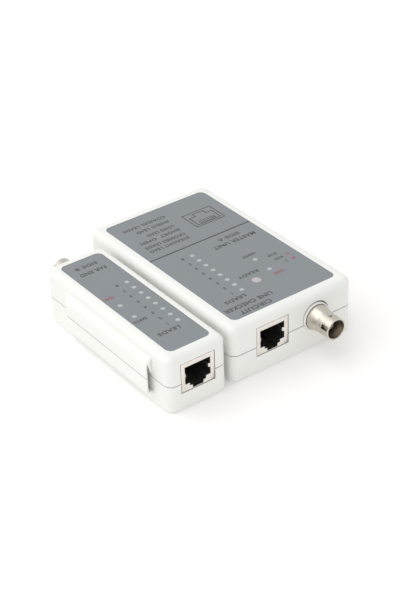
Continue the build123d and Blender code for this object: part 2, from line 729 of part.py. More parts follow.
def grip_bulge():
    """The raised grip on the remote's outer wall, fading into the wall at its far end."""
    start = REMOTE.front + GRIP_FRONT_SETBACK
    end = REMOTE.back - GRIP_BACK_SETBACK
    plane = Plane(origin=(0, start, 0), x_dir=(1, 0, 0), z_dir=(0, -1, 0))
    block = extrude(plane * grip_outline(), -(end - start))
    x = REMOTE.left
    clear = x - GRIP_PROUD - OVERCUT
    ramp = Spline((x - GRIP_PROUD, end - GRIP_BACK_RUN), (x, end), tangents=((0, 1), (0, 1)))
    around = Polyline(
        (x, end),
        (x, end + OVERCUT),
        (clear, end + OVERCUT),
        (clear, end - GRIP_BACK_RUN),
        (x - GRIP_PROUD, end - GRIP_BACK_RUN),
    )
    return block - extrude(make_face([ramp, around]), CASE_HEIGHT)


def grip_pocket():
    """The slot behind the grip's skin, open at the socket end."""
    start = REMOTE.front + GRIP_FRONT_SETBACK
    wall = REMOTE.left
    skin = wall - GRIP_PROUD + GRIP_SKIN
    low = GRIP_LOW + GRIP_POCKET_LOW_MARGIN
    high = GRIP_HIGH - GRIP_POCKET_HIGH_MARGIN
    outline = make_face(Polyline((wall, low), (skin, low), (skin, high), (wall, high - GRIP_POCKET_SLOPE),
                                 (wall, low)))
    plane = Plane(origin=(0, start - OVERCUT, 0), x_dir=(1, 0, 0), z_dir=(0, -1, 0))
    return extrude(plane * outline, -(GRIP_POCKET_DEPTH + OVERCUT))


# ---------------------------------------------------------------- slide switch
def switch_slot_half():
    """Half the length that the knob needs in the wall."""
    return (SWITCH_TRAVEL + KNOB_LENGTH) / 2 + SWITCH_PLAY


def switch_window():
    """Slot and shallow recess in the main unit's right wall for the switch knob."""
    half_y = switch_slot_half()
    half_z = KNOB_HEIGHT / 2 + SWITCH_PLAY
    z = PARTING_HEIGHT
    slot = slab(MAIN.right - WALL - OVERCUT, MAIN.right + OVERCUT, SWITCH_Y - half_y, SWITCH_Y + half_y,
                z - half_z, z + half_z)
    margin = SWITCH_RECESS_MARGIN
    return slot + slab(MAIN.right - SWITCH_RECESS, MAIN.right + OVERCUT, SWITCH_Y - half_y - margin,
                       SWITCH_Y + half_y + margin, z - half_z - margin, z + half_z + margin)


def switch_can_right():
    """Outer plane of the switch frame, just inside the case wall."""
    return MAIN.right - WALL - LIP_CLEARANCE


def switch_can():
    """Folded metal frame of the slide switch with its legs down to the board."""
    right = switch_can_right()
    z = PARTING_HEIGHT
    half_y = (SWITCH_TRAVEL + SLIDER_LENGTH) / 2 + SWITCH_PLAY + SWITCH_SHEET
    half_z = SLIDER_HEIGHT / 2 + SWITCH_PLAY + SWITCH_SHEET
    can = slab(right - SWITCH_CAN_DEPTH, right, SWITCH_Y - half_y, SWITCH_Y + half_y, z - half_z, z + half_z)
    inner_y = half_y - SWITCH_SHEET
    inner_z = half_z - SWITCH_SHEET
    room = SLIDER_THICKNESS + 2 * SWITCH_PLAY
    can -= slab(right - SWITCH_SHEET - room, right - SWITCH_SHEET, SWITCH_Y - inner_y,
                SWITCH_Y + inner_y, z - inner_z, z + inner_z)
    knob_y = switch_slot_half()
    knob_z = KNOB_HEIGHT / 2 + SWITCH_PLAY
    can -= slab(right - SWITCH_SHEET - SWITCH_PLAY, right + OVERCUT, SWITCH_Y - knob_y, SWITCH_Y + knob_y,
                z - knob_z, z + knob_z)
    spacing = 2 * (half_y - SWITCH_LEG_INSET) / (SWITCH_LEG_COUNT - 1)
    for i in range(SWITCH_LEG_COUNT):
        leg_y = SWITCH_Y - half_y + SWITCH_LEG_INSET + i * spacing
        can += post(right - SWITCH_CAN_DEPTH + SWITCH_LEG_INSET, leg_y, SWITCH_LEG_R, BOARD_TOP, z - half_z)
    return can


def switch_knob():
    """Ribbed knob and its slider, at the far end of its travel."""
    right = switch_can_right()
    z = PARTING_HEIGHT
    y = SWITCH_Y + SWITCH_TRAVEL / 2
    slider_right = right - SWITCH_SHEET - SWITCH_PLAY
    knob = slab(slider_right - SLIDER_THICKNESS, slider_right, y - SLIDER_LENGTH / 2,
                y + SLIDER_LENGTH / 2, z - SLIDER_HEIGHT / 2, z + SLIDER_HEIGHT / 2)
    knob += slab(slider_right, MAIN.right + KNOB_PROUD, y - KNOB_LENGTH / 2, y + KNOB_LENGTH / 2,
                 z - KNOB_HEIGHT / 2, z + KNOB_HEIGHT / 2)
    pitch = KNOB_LENGTH / KNOB_RIDGES
    for i in range(KNOB_RIDGES - 1):
        groove = y - KNOB_LENGTH / 2 + (i + 1) * pitch
        knob -= slab(MAIN.right + KNOB_PROUD - KNOB_RIDGE, MAIN.right + KNOB_PROUD + OVERCUT,
                     groove - KNOB_RIDGE / 2, groove + KNOB_RIDGE / 2, z - KNOB_HEIGHT, z + KNOB_HEIGHT)
    return knob


# ---------------------------------------------------------------- battery and door
def battery():
    """Rectangular battery lying across the bay, with its two snap terminals."""
    x = MAIN.x + BATTERY_MIDDLE_X
    left, right = x - BATTERY_LENGTH / 2, x + BATTERY_LENGTH / 2
    top = BATTERY_BOTTOM + BATTERY_THICKNESS
    cell = slab(left, right, BATTERY_FRONT, BATTERY_BACK, BATTERY_BOTTOM, top)
    cell = fillet(cell.edges().filter_by(Axis.X), BATTERY_EDGE_R)
    middle_y = (BATTERY_FRONT + BATTERY_BACK) / 2
    middle_z = BATTERY_BOTTOM + BATTERY_THICKNESS / 2
    for side in (-1, 1):
        place = Pos(right, middle_y + side * TERMINAL_SPACING / 2, middle_z) * Rot(Y=90)
        cell += place * Cylinder(TERMINAL_R, TERMINAL_LENGTH, align=UP)
    return cell


def snap_left():
    """Face of the battery that the snap strip lies on."""
    return MAIN.x + BATTERY_MIDDLE_X + BATTERY_LENGTH / 2 + SNUG_FIT


def battery_snap():
    """Snap strip on the battery's terminals."""
    middle_y = (BATTERY_FRONT + BATTERY_BACK) / 2
    middle_z = BATTERY_BOTTOM + BATTERY_THICKNESS / 2
    right = snap_left() + TERMINAL_LENGTH + SNAP_THICKNESS
    strip = slab(snap_left(), right, middle_y - SNAP_LENGTH / 2, middle_y + SNAP_LENGTH / 2,
                 middle_z - SNAP_HEIGHT / 2, middle_z + SNAP_HEIGHT / 2)
    for side in (-1, 1):
        place = Pos(snap_left(), middle_y + side * TERMINAL_SPACING / 2, middle_z) * Rot(Y=90)
        strip -= place * Cylinder(TERMINAL_R + SNUG_FIT, TERMINAL_LENGTH + SNUG_FIT, align=UP)
    return strip


def battery_lead(rise, reach):
    """One lead from the snap strip over the bay rib and down onto the board."""
    start_y = (BATTERY_FRONT + BATTERY_BACK) / 2 - SNAP_LENGTH / 2
    x = snap_left() + (TERMINAL_LENGTH + SNAP_THICKNESS) / 2
    z = BATTERY_BOTTOM + BATTERY_THICKNESS / 2 + rise
    end_x = x - reach
    end_y = start_y - LEAD_BEND_R - reach
    path = FilletPolyline(
        (x, start_y, z),
        (x, start_y - LEAD_BEND_R, z),
        (end_x, end_y, z),
        (end_x, end_y, BOARD_TOP),
        radius=LEAD_BEND_R,
    )
    section = Plane(origin=(x, start_y, z), z_dir=(0, -1, 0)) * Circle(LEAD_R)
    return sweep(section, path=path)


def battery_door_body(grow, z_grow):
    """The door as a plate with side tongues, grown by a clearance for the opening in the shell."""
    half = DOOR_WIDTH / 2 + grow
    front = DOOR_FRONT - grow
    back = MAIN.back + OVERCUT
    plate = slab(MAIN.x - half, MAIN.x + half, front, back, -OVERCUT, FLOOR + z_grow)
    tongue_half = half + DOOR_TONGUE
    low = DOOR_TONGUE_HEIGHT - grow / 2
    high = DOOR_TONGUE_HEIGHT + DOOR_TONGUE_THICKNESS + grow / 2
    return plate + slab(MAIN.x - tongue_half, MAIN.x + tongue_half, front, back, low, high)


def battery_door():
    """Sliding battery door with thumb ribs, taking the far lower edge of the case with it."""
    door = battery_door_body(0.0, -DOOR_CLEARANCE) & case_outside(MAIN)
    door -= slab(MAIN.left, MAIN.right, MAIN.front, MAIN.back, -OVERCUT, DOOR_LIFT)
    first = MAIN.back - BOTTOM_EDGE_R - DOOR_GRIP_COUNT * DOOR_GRIP_PITCH
    for i in range(DOOR_GRIP_COUNT):
        y = first + i * DOOR_GRIP_PITCH
        door -= slab(MAIN.x - DOOR_GRIP_WIDTH / 2, MAIN.x + DOOR_GRIP_WIDTH / 2,
                     y, y + DOOR_GRIP_PITCH / 2, DOOR_LIFT, DOOR_LIFT + DOOR_GRIP_DEPTH)
    return door


# ---------------------------------------------------------------- boards and parts on them
def board(case, front_gap, length, right_limit):
    """A circuit board, notched round the screw towers."""
    sheet = slab(case.left + WALL + BOARD_SIDE_GAP, right_limit, case.front + front_gap,
                 case.front + front_gap + length, BOARD_TOP - BOARD_THICKNESS, BOARD_TOP)
    for x, y in boss_centres(case):
        sheet -= post(x, y, BOSS_LOW_R + BOARD_SIDE_GAP, 0.0, CASE_HEIGHT)
    sheet &= rounded_slab(case, WALL + BOARD_SIDE_GAP, 0.0, CASE_HEIGHT, CORNER_R - WALL)
    for x, y in board_posts(case):
        sheet -= post(x, y, BOARD_PEG_R + BOARD_PEG_FIT, 0.0, CASE_HEIGHT)
    return sheet


def main_board():
    """Board of the main unit, ending short of the battery bay."""
    front = MAIN.front + MAIN_BOARD_FRONT
    back = BAY_FRONT - BAY_RIB - MAIN_BOARD_BACK_GAP
    return board(MAIN, MAIN_BOARD_FRONT, back - front, MAIN.right - WALL - BOARD_SIDE_GAP)


def remote_board():
    """Board of the remote, ending short of the dock channel's wall."""
    inner = REMOTE.right - DOCK_LIP - 2 * DOCK_PLAY - DOCK_HEAD_THICKNESS - DOCK_BACK_WALL
    length = REMOTE.length - REMOTE_BOARD_FRONT - REMOTE_BOARD_BACK
    return board(REMOTE, REMOTE_BOARD_FRONT, length, inner - BOARD_SIDE_GAP)


def board_posts(case):
    """Where pegs of the lower shell locate the board."""
    if case is MAIN:
        return [(MAIN.x + x, MAIN.front + MAIN_POST_SETBACK) for x in MAIN_POST_XS]
    return [(REMOTE.x, REMOTE.front + s) for s in REMOTE_POST_SETBACKS]


def add_board_posts(case, shell):
    """Stepped pegs that carry the board and pass through it."""
    for x, y in board_posts(case):
        shell += post(x, y, BOARD_POST_R, FLOOR / 2, BOARD_TOP - BOARD_THICKNESS)
        shell += post(x, y, BOARD_PEG_R, FLOOR / 2, BOARD_TOP + BOARD_PEG_PROUD)
    return shell


def chip(x, y):
    """A chip package on two rows of legs."""
    bottom = BOARD_TOP + CHIP_STANDOFF
    body = slab(x - CHIP_WIDTH / 2, x + CHIP_WIDTH / 2, y - CHIP_LENGTH / 2, y + CHIP_LENGTH / 2,
                bottom, bottom + CHIP_HEIGHT)
    middle = (CHIP_LEGS - 1) / 2
    for side in (-1, 1):
        for i in range(CHIP_LEGS):
            leg_y = y + (i - middle) * CHIP_LEG_PITCH
            near = x + side * CHIP_WIDTH / 2
            far = near + side * CHIP_LEG_WIDTH
            body += slab(min(near, far), max(near, far), leg_y - CHIP_LEG_WIDTH / 2,
                         leg_y + CHIP_LEG_WIDTH / 2, BOARD_TOP, bottom + CHIP_HEIGHT / 2)
    return body


def main_chips():
    """The two chip packages of the main unit."""
    return [chip(MAIN.x + x, MAIN.front + s) for x, s in zip(MAIN_CHIP_XS, MAIN_CHIP_SETBACKS)]


def main_capacitor():
    """The supply capacitor, standing on the main board."""
    can = post(MAIN.x + CAPACITOR_X, MAIN.front + CAPACITOR_SETBACK, CAPACITOR_R, BOARD_TOP,
               BOARD_TOP + CAPACITOR_HEIGHT)
    return fillet(can.edges().sort_by(Axis.Z)[-1], CAPACITOR_EDGE_R)


def remote_resistors():
    """A row of wire-ended parts across the remote's board, one for each line."""
    parts = []
    x = REMOTE.x + RESISTOR_X
    z = BOARD_TOP + RESISTOR_R + RESISTOR_WIRE_R
    for i in range(RESISTOR_COUNT):
        y = REMOTE.front + RESISTOR_SETBACK + i * RESISTOR_PITCH
        body = Pos(x, y, z) * Rot(Y=90) * Cylinder(RESISTOR_R, RESISTOR_LENGTH)
        wire_half = RESISTOR_LENGTH / 2 + 2 * RESISTOR_WIRE_R
        body += Pos(x, y, z) * Rot(Y=90) * Cylinder(RESISTOR_WIRE_R, 2 * wire_half)
        for side in (-1, 1):
            body += post(x + side * wire_half, y, RESISTOR_WIRE_R, BOARD_TOP, z)
        parts.append(body)
    return parts


# ---------------------------------------------------------------- shells
def main_shells():
    """Lower and upper shells of the main unit."""
    openings = [jack_window(MAIN), coax_hole(MAIN), dock_wall_slot(), switch_window()]
    body = case_outside(MAIN) - case_inside(MAIN)
    for opening in openings:
        body -= opening
    lower, upper = split_case(MAIN, body, openings)
    lower = add_board_posts(MAIN, add_low_bosses(MAIN, lower))
    lower += battery_ribs()
    lower -= battery_door_body(DOOR_CLEARANCE, 0.0)
    upper = cut_lamp_holes(MAIN, add_high_bosses(MAIN, upper))
    upper -= label_block(MAIN, MAIN_LABEL_MARGIN_X, MAIN_LABEL_MARGIN_Y, LABEL_CLEARANCE,
                         LABEL_FLOOR, CASE_HEIGHT + OVERCUT)
    return lower, upper


def battery_ribs():
    """Ribs that hold the battery at its front and at its plain end."""
    left = MAIN.x + BATTERY_MIDDLE_X - BATTERY_LENGTH / 2 - BATTERY_BAY_CLEARANCE
    top = FLOOR + BAY_RIB_HEIGHT
    ribs = slab(MAIN.left, MAIN.right, BAY_FRONT - BAY_RIB, BAY_FRONT, FLOOR, top)
    ribs += slab(left - BAY_RIB, left, BAY_FRONT, MAIN.back, FLOOR, top)
    return ribs & rounded_slab(MAIN, WALL / 2, 0.0, CASE_HEIGHT, CORNER_R - WALL / 2)


def remote_shells():
    """Lower and upper shells of the remote unit."""
    body = case_outside(REMOTE) + grip_bulge()
    body -= case_inside(REMOTE)
    body += dock_channel_walls()
    openings = [jack_window(REMOTE), coax_hole(REMOTE), dock_channel(), grip_pocket()]
    for opening in openings:
        body -= opening
    lower, upper = split_case(REMOTE, body, openings + [dock_channel_walls()])
    lower = add_board_posts(REMOTE, add_low_bosses(REMOTE, lower))
    upper = cut_lamp_holes(REMOTE, add_high_bosses(REMOTE, upper))
    upper -= label_block(REMOTE, REMOTE_LABEL_MARGIN_X, REMOTE_LABEL_MARGIN_Y, LABEL_CLEARANCE,
                         LABEL_FLOOR, CASE_HEIGHT + OVERCUT)
    return lower, upper


def save(node, shape):
    """Writes one node, a solid or a group of separate solids."""
    if isinstance(shape, list):
        shape = Compound(children=[solid for piece in shape for solid in piece.solids()])
    shape.label = node
    export_step(shape, f"parts/{node}.step")


def main():
    """Builds every node and writes it to its own file."""
    os.makedirs("parts", exist_ok=True)
    main_lower, main_upper = main_shells()
    remote_lower, remote_upper = remote_shells()
    save("main_bottom_shell", main_lower)
    save("main_top_shell", main_upper)
    save("remote_bottom_shell", remote_lower)
    save("remote_top_shell", remote_upper)
    save("main_label", label(MAIN, MAIN_LABEL_MARGIN_X, MAIN_LABEL_MARGIN_Y))
    save("remote_label", label(REMOTE, REMOTE_LABEL_MARGIN_X, REMOTE_LABEL_MARGIN_Y))
    save("main_power_lamp", lamp(*power_lamp(), POWER_LAMP_R, POWER_RIM_R))
    for name, case in (("main", MAIN), ("remote", REMOTE)):
        save(f"{name}_pin_lamps", pin_lamp_set(case))
        save(f"{name}_status_lamps", status_lamp_set(case))
        save(f"{name}_jack_shield", jack_shield(case))
        save(f"{name}_jack_insert", jack_insert(case))
        save(f"{name}_jack_contacts", jack_contacts(case))
        save(f"{name}_bnc_body", coax_body(case))
        save(f"{name}_bnc_insulator", coax_insulator(case))
        save(f"{name}_bnc_pin", coax_pin(case))
        save(f"{name}_bnc_bushing", coax_bushing(case))
        save(f"{name}_case_screws", case_screws(case))
    save("main_board", main_board())
    save("remote_board", remote_board())
    save("main_chips", main_chips())
    save("main_capacitor", main_capacitor())
    save("remote_resistors", remote_resistors())
    save("dock_rail", dock_rail())
    save("switch_can", switch_can())
    save("switch_knob", switch_knob())
    save("battery", battery())
    save("battery_snap", battery_snap())
    for name, rise, reach in zip(("positive", "negative"), LEAD_RISES, LEAD_REACHES):
        save(f"battery_lead_{name}", battery_lead(rise, reach))
    save("battery_door", battery_door())


if __name__ == "__main__":
    main()
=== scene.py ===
"""Looks of the network cable tester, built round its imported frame.

Metres, in the frame's own axes: +X from the remote unit towards the main unit, +Y away from the
data sockets, +Z up out of the labels. Sizes written here are in millimetres and pass through MM.
"""

import json
import logging
import math
from collections.abc import Callable
from dataclasses import dataclass, field
from enum import Enum

import bpy
from mathutils import Matrix, Vector


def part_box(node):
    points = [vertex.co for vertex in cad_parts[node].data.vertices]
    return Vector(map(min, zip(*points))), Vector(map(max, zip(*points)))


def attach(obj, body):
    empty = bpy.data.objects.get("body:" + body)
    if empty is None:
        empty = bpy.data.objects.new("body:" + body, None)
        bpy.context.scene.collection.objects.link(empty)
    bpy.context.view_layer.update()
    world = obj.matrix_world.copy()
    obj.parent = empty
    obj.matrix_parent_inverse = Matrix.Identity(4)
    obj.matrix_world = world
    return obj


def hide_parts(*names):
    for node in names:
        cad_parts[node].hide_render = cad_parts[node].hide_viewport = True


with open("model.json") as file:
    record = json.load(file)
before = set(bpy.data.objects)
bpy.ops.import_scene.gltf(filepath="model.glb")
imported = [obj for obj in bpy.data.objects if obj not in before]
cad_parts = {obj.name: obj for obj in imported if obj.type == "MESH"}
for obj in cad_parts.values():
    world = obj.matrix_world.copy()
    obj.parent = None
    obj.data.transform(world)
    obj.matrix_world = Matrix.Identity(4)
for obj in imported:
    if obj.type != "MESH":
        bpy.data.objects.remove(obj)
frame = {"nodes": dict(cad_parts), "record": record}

MM = 0.001
HALF_TURN = math.pi
MERGE = 0.001 * MM
NEAR = 0.01 * MM
Colour = tuple[float, float, float]
Point = tuple[float, float]

logging.basicConfig(level=logging.INFO, format="%(name)s: %(message)s")
log = logging.getLogger("tester")


class Unit(Enum):
    """The two halves of the tester, by the body that each one rides on."""

    MAIN = "main"
    REMOTE = "remote"

    @property
    def body(self) -> str:
        """Name of the body in the frame."""
        return f"{self.value}_unit"

    def node(self, part: str) -> str:
        """Name of one of this unit's nodes."""
        return f"{self.value}_{part}"


class Ink(Enum):
    """The two print colours on the labels."""

    DARK = "dark"
    RED = "red"


# ---------------------------------------------------------------- bench work
def clear_bench() -> None:
    """Leaves edit mode and deselects everything."""
    active = bpy.context.view_layer.objects.active
    if active is not None and active.mode != "OBJECT":
        bpy.ops.object.mode_set(mode="OBJECT")
    bpy.ops.object.select_all(action="DESELECT")


def pick(*pieces: bpy.types.Object) -> None:
    """Selects only these pieces, the first of them active.

    Args:
        pieces: The objects to select.
    """
    clear_bench()
    for piece in pieces:
        piece.select_set(True)
    bpy.context.view_layer.objects.active = pieces[0]


def choose(piece: bpy.types.Object, kind: str, wanted: Callable[[Vector, Vector], bool]) -> None:
    """Selects faces or edges of a piece by place and normal, and leaves it in edit mode.

    Args:
        piece: The mesh being shaped.
        kind: FACE or EDGE.
        wanted: Takes the middle and the normal, or the direction of an edge, and says yes or no.
    """
    bpy.ops.object.mode_set(mode="EDIT")
    bpy.ops.mesh.select_mode(type=kind)
    bpy.ops.mesh.select_all(action="DESELECT")
    bpy.ops.object.mode_set(mode="OBJECT")
    mesh = piece.data
    if kind == "FACE":
        for face in mesh.polygons:
            face.select = wanted(face.center.copy(), face.normal.copy())
    else:
        for edge in mesh.edges:
            start, end = (mesh.vertices[i].co for i in edge.vertices)
            edge.select = wanted((start + end) / 2, (end - start).normalized())
    bpy.ops.object.mode_set(mode="EDIT")


def everything(middle: Vector, normal: Vector) -> bool:
    """Says yes to every face or edge, for choose."""
    return True


def settle(piece: bpy.types.Object) -> None:
    """Puts a piece's place, turn and scale into its mesh."""
    pick(piece)
    bpy.ops.object.transform_apply(location=True, rotation=True, scale=True)


def mend(piece: bpy.types.Object) -> None:
    """Merges doubled points and turns every face outwards.

    Args:
        piece: The mesh to mend.
    """
    pick(piece)
    bpy.ops.object.mode_set(mode="EDIT")
    bpy.ops.mesh.select_all(action="SELECT")
    bpy.ops.mesh.remove_doubles(threshold=MERGE)
    bpy.ops.mesh.normals_make_consistent(inside=False)
    bpy.ops.object.mode_set(mode="OBJECT")


def apply_modifier(piece: bpy.types.Object, kind: str, **settings: object) -> None:
    """Adds a modifier and applies it at once.

    Args:
        piece: The mesh to change.
        kind: The modifier's type.
        settings: Its properties.
    """
    pick(piece)
    modifier = piece.modifiers.new(kind.lower(), kind)
    for name, value in settings.items():
        setattr(modifier, name, value)
    bpy.ops.object.modifier_apply(modifier=modifier.name)


def ease_edges(piece: bpy.types.Object, radius: float, sharpest: float = 40.0,
               smoothest: float = 35.0) -> None:
    """Breaks the sharp edges of a piece with a small radius and smooths the rest.

    Args:
        piece: The mesh to finish.
        radius: Width of the broken edge, in millimetres.
        sharpest: Edges that turn more than this many degrees are broken.
        smoothest: Edges that turn less than this many degrees are shaded smooth.
    """
    apply_modifier(piece, "BEVEL", width=radius * MM, segments=2, limit_method="ANGLE",
                   angle_limit=math.radians(sharpest), use_clamp_overlap=True)
    pick(piece)
    bpy.ops.object.shade_smooth_by_angle(angle=math.radians(smoothest))


def joined(name: str, pieces: list[bpy.types.Object]) -> bpy.types.Object:
    """Joins pieces into one.

    Args:
        name: The joined piece's name.
        pieces: What to join.

    Returns:
        The joined piece.
    """
    pick(*pieces)
    if len(pieces) > 1:
        bpy.ops.object.join()
    made = bpy.context.view_layer.objects.active
    made.name = name
    made.data.name = name
    return made


def eased_copy(node: str, radius: float, flat: float = 0.5) -> bpy.types.Object:
    """A copy of a frame node with its sharp edges broken.

    Args:
        node: The node to copy and to stand for.
        radius: Width of the broken edges, in millimetres.
        flat: Faces that meet at less than this many degrees become one.

    Returns:
        The new piece, at the node's place.
    """
    source = frame["nodes"][node]
    piece = bpy.data.objects.new(f"{node}_piece", source.data.copy())
    bpy.context.scene.collection.objects.link(piece)
    pick(piece)
    bpy.ops.mesh.customdata_custom_splitnormals_clear()
    bpy.ops.object.mode_set(mode="EDIT")
    bpy.ops.mesh.select_all(action="SELECT")
    bpy.ops.mesh.remove_doubles(threshold=MERGE)
    bpy.ops.mesh.dissolve_limited(angle_limit=math.radians(flat))
    bpy.ops.object.mode_set(mode="OBJECT")
    ease_edges(piece, radius)
    return piece


# ---------------------------------------------------------------- shader effects
class Tree:
    """Short ways to build a node tree."""

    def __init__(self, tree: bpy.types.NodeTree) -> None:
        """Takes the tree to build in."""
        self.tree = tree

    def node(self, kind: str, **settings: object) -> bpy.types.Node:
        """Adds a node.

        Args:
            kind: Its type.
            settings: Its properties.

        Returns:
            The node.
        """
        made = self.tree.nodes.new(kind)
        for name, value in settings.items():
            setattr(made, name, value)
        return made

    def join(self, source: bpy.types.NodeSocket, target: bpy.types.NodeSocket) -> None:
        """Links two sockets."""
        self.tree.links.new(source, target)

    def feed(self, node: bpy.types.Node, **inputs: object) -> bpy.types.Node:
        """Sets or links a node's inputs.

        Args:
            node: The node.
            inputs: A value or a socket for each input, whose name has _ for a space.

        Returns:
            The same node.
        """
        for name, value in inputs.items():
            socket = node.inputs[name.replace("_", " ")]
            if isinstance(value, bpy.types.NodeSocket):
                self.join(value, socket)
            else:
                socket.default_value = value
        return node

    def place(self) -> bpy.types.NodeSocket:
        """The piece's own coordinates."""
        return self.node("ShaderNodeTexCoord").outputs["Object"]

    def noise(self, scale: object, detail: float = 3.0, rough: float = 0.5,
              where: bpy.types.NodeSocket | None = None) -> bpy.types.NodeSocket:
        """Noise from 0 to 1 over the piece.

        Args:
            scale: Waves a metre, as a value or a socket.
            detail: How many finer layers are added.
            rough: How strong the finer layers are.
            where: Coordinates, or none for the piece's own.

        Returns:
            The noise.
        """
        made = self.node("ShaderNodeTexNoise")
        self.feed(made, Vector=where or self.place(), Scale=scale, Detail=detail, Roughness=rough)
        return made.outputs["Fac"]

    def reckon(self, kind: str, first: object, second: object, third: object = 0.0) -> bpy.types.NodeSocket:
        """One step of arithmetic.

        Args:
            kind: The operation.
            first: A value or a socket.
            second: A value or a socket.
            third: A value or a socket, for the operations that take three.

        Returns:
            The result.
        """
        made = self.node("ShaderNodeMath", operation=kind)
        for i, value in enumerate((first, second, third)):
            if isinstance(value, bpy.types.NodeSocket):
                self.join(value, made.inputs[i])
            else:
                made.inputs[i].default_value = value
        return made.outputs[0]

    def span(self, value: object, low: object, high: object, start: float = 0.0,
             end: float = 1.0) -> bpy.types.NodeSocket:
        """Takes a value from one range to another, held at its ends.

        Args:
            value: The value.
            low: What the start of the first range becomes.
            high: What the end of the first range becomes.
            start: Start of the first range.
            end: End of the first range.

        Returns:
            The new value.
        """
        made = self.node("ShaderNodeMapRange")
        for name, given in (("Value", value), ("From Min", start), ("From Max", end),
                            ("To Min", low), ("To Max", high)):
            if isinstance(given, bpy.types.NodeSocket):
                self.join(given, made.inputs[name])
            else:
                made.inputs[name].default_value = given
        return made.outputs["Result"]

    def blend(self, factor: object, first: object, second: object) -> bpy.types.NodeSocket:
        """Mixes two colours.

        Args:
            factor: Share of the second, as a value or a socket.
            first: The first colour.
            second: The second colour.

        Returns:
            The mixed colour.
        """
        made = self.node("ShaderNodeMix", data_type="RGBA")
        factor_in, first_in, second_in = made.inputs[0], made.inputs[6], made.inputs[7]
        for socket, value in ((factor_in, factor), (first_in, first), (second_in, second)):
            if isinstance(value, bpy.types.NodeSocket):
                self.join(value, socket)
            elif isinstance(value, tuple):
                socket.default_value = (*value, 1.0)
            else:
                socket.default_value = value
        return made.outputs[2]


@dataclass(frozen=True)
class Effect:
    """A shader effect that several finishes share, as a node group.

    Attributes:
        name: The group's name.
        inputs: Each input's name, socket type and starting value.
        outputs: Each output's name and socket type.
        draw: Builds the inside, from the tree and the group's input and output nodes.
    """

    name: str
    inputs: tuple[tuple[str, str, object], ...]
    outputs: tuple[tuple[str, str], ...]
    draw: Callable[[Tree, bpy.types.Node, bpy.types.Node], None]

    def group(self) -> bpy.types.NodeTree:
        """The node group, made the first time it is asked for.

        Returns:
            The group.
        """
        found = bpy.data.node_groups.get(self.name)
        if found is not None:
            return found
        made = bpy.data.node_groups.new(self.name, "ShaderNodeTree")
        for name, kind, start in self.inputs:
            made.interface.new_socket(name, in_out="INPUT", socket_type=kind).default_value = start
        for name, kind in self.outputs:
            made.interface.new_socket(name, in_out="OUTPUT", socket_type=kind)
        tree = Tree(made)
        self.draw(tree, tree.node("NodeGroupInput"), tree.node("NodeGroupOutput"))
        return made

    def use(self, tree: Tree, **inputs: object) -> bpy.types.Node:
        """Places the group in a material.

        Args:
            tree: The material's tree.
            inputs: The values that this use of the group has.

        Returns:
            The group's node.
        """
        made = tree.node("ShaderNodeGroup")
        made.node_tree = self.group()
        return tree.feed(made, **inputs)


def draw_grain(tree: Tree, start: bpy.types.Node, end: bpy.types.Node) -> None:
    """Height of a fine pebbled skin over a slow swell.

    Args:
        tree: The group's tree.
        start: Its input node.
        end: Its output node.
    """
    swell_scale = 0.06
    fine = tree.noise(start.outputs["Scale"], 4.0, 0.6)
    slow = tree.noise(tree.reckon("MULTIPLY", start.outputs["Scale"], swell_scale), 2.0)
    tree.join(tree.reckon("MULTIPLY_ADD", slow, start.outputs["Swell"], fine), end.inputs["Height"])


def draw_drift(tree: Tree, start: bpy.types.Node, end: bpy.types.Node) -> None:
    """Slow and fast drift between two colours, and of the roughness with it.

    Args:
        tree: The group's tree.
        start: Its input node.
        end: Its output node.
    """
    close_scale = 14.0
    close_share = 0.35
    weakest, strongest = 0.32, 0.68
    broad = tree.noise(start.outputs["Scale"], 3.0, 0.55)
    close = tree.noise(tree.reckon("MULTIPLY", start.outputs["Scale"], close_scale), 3.0, 0.6)
    slow = tree.reckon("MULTIPLY", broad, 1.0 - close_share)
    both = tree.reckon("MULTIPLY_ADD", close, close_share, slow)
    factor = tree.span(both, 0.0, 1.0, weakest, strongest)
    tree.join(tree.blend(factor, start.outputs["Colour"], start.outputs["Other"]), end.inputs["Colour"])
    tree.join(tree.span(factor, start.outputs["Smooth"], start.outputs["Rough"]), end.inputs["Roughness"])


def draw_worn_highlit_edges(tree: Tree, start: bpy.types.Node, end: bpy.types.Node) -> None:
    """Mask of rubbed edges, which also carry a painted highlight: where a rounded normal leaves the true
    one, broken up by noise.

    Args:
        tree: The group's tree.
        start: Its input node.
        end: Its output node.
    """
    sharpest, flattest = 0.7, 0.99
    patch_scale = 900.0
    least_worn_highlit = 0.25
    bare, worn_highlit = 0.35, 0.6
    soft = tree.node("ShaderNodeBevel", samples=4)
    tree.join(start.outputs["Width"], soft.inputs["Radius"])
    true = tree.node("ShaderNodeNewGeometry").outputs["Normal"]
    dot = tree.node("ShaderNodeVectorMath", operation="DOT_PRODUCT")
    tree.join(soft.outputs["Normal"], dot.inputs[0])
    tree.join(true, dot.inputs[1])
    bent = tree.span(dot.outputs["Value"], 1.0, 0.0, sharpest, flattest)
    patchy = tree.span(tree.noise(patch_scale, 4.0, 0.6), least_worn_highlit, 1.0, bare, worn_highlit)
    tree.join(tree.reckon("MULTIPLY", bent, patchy), end.inputs["Mask"])


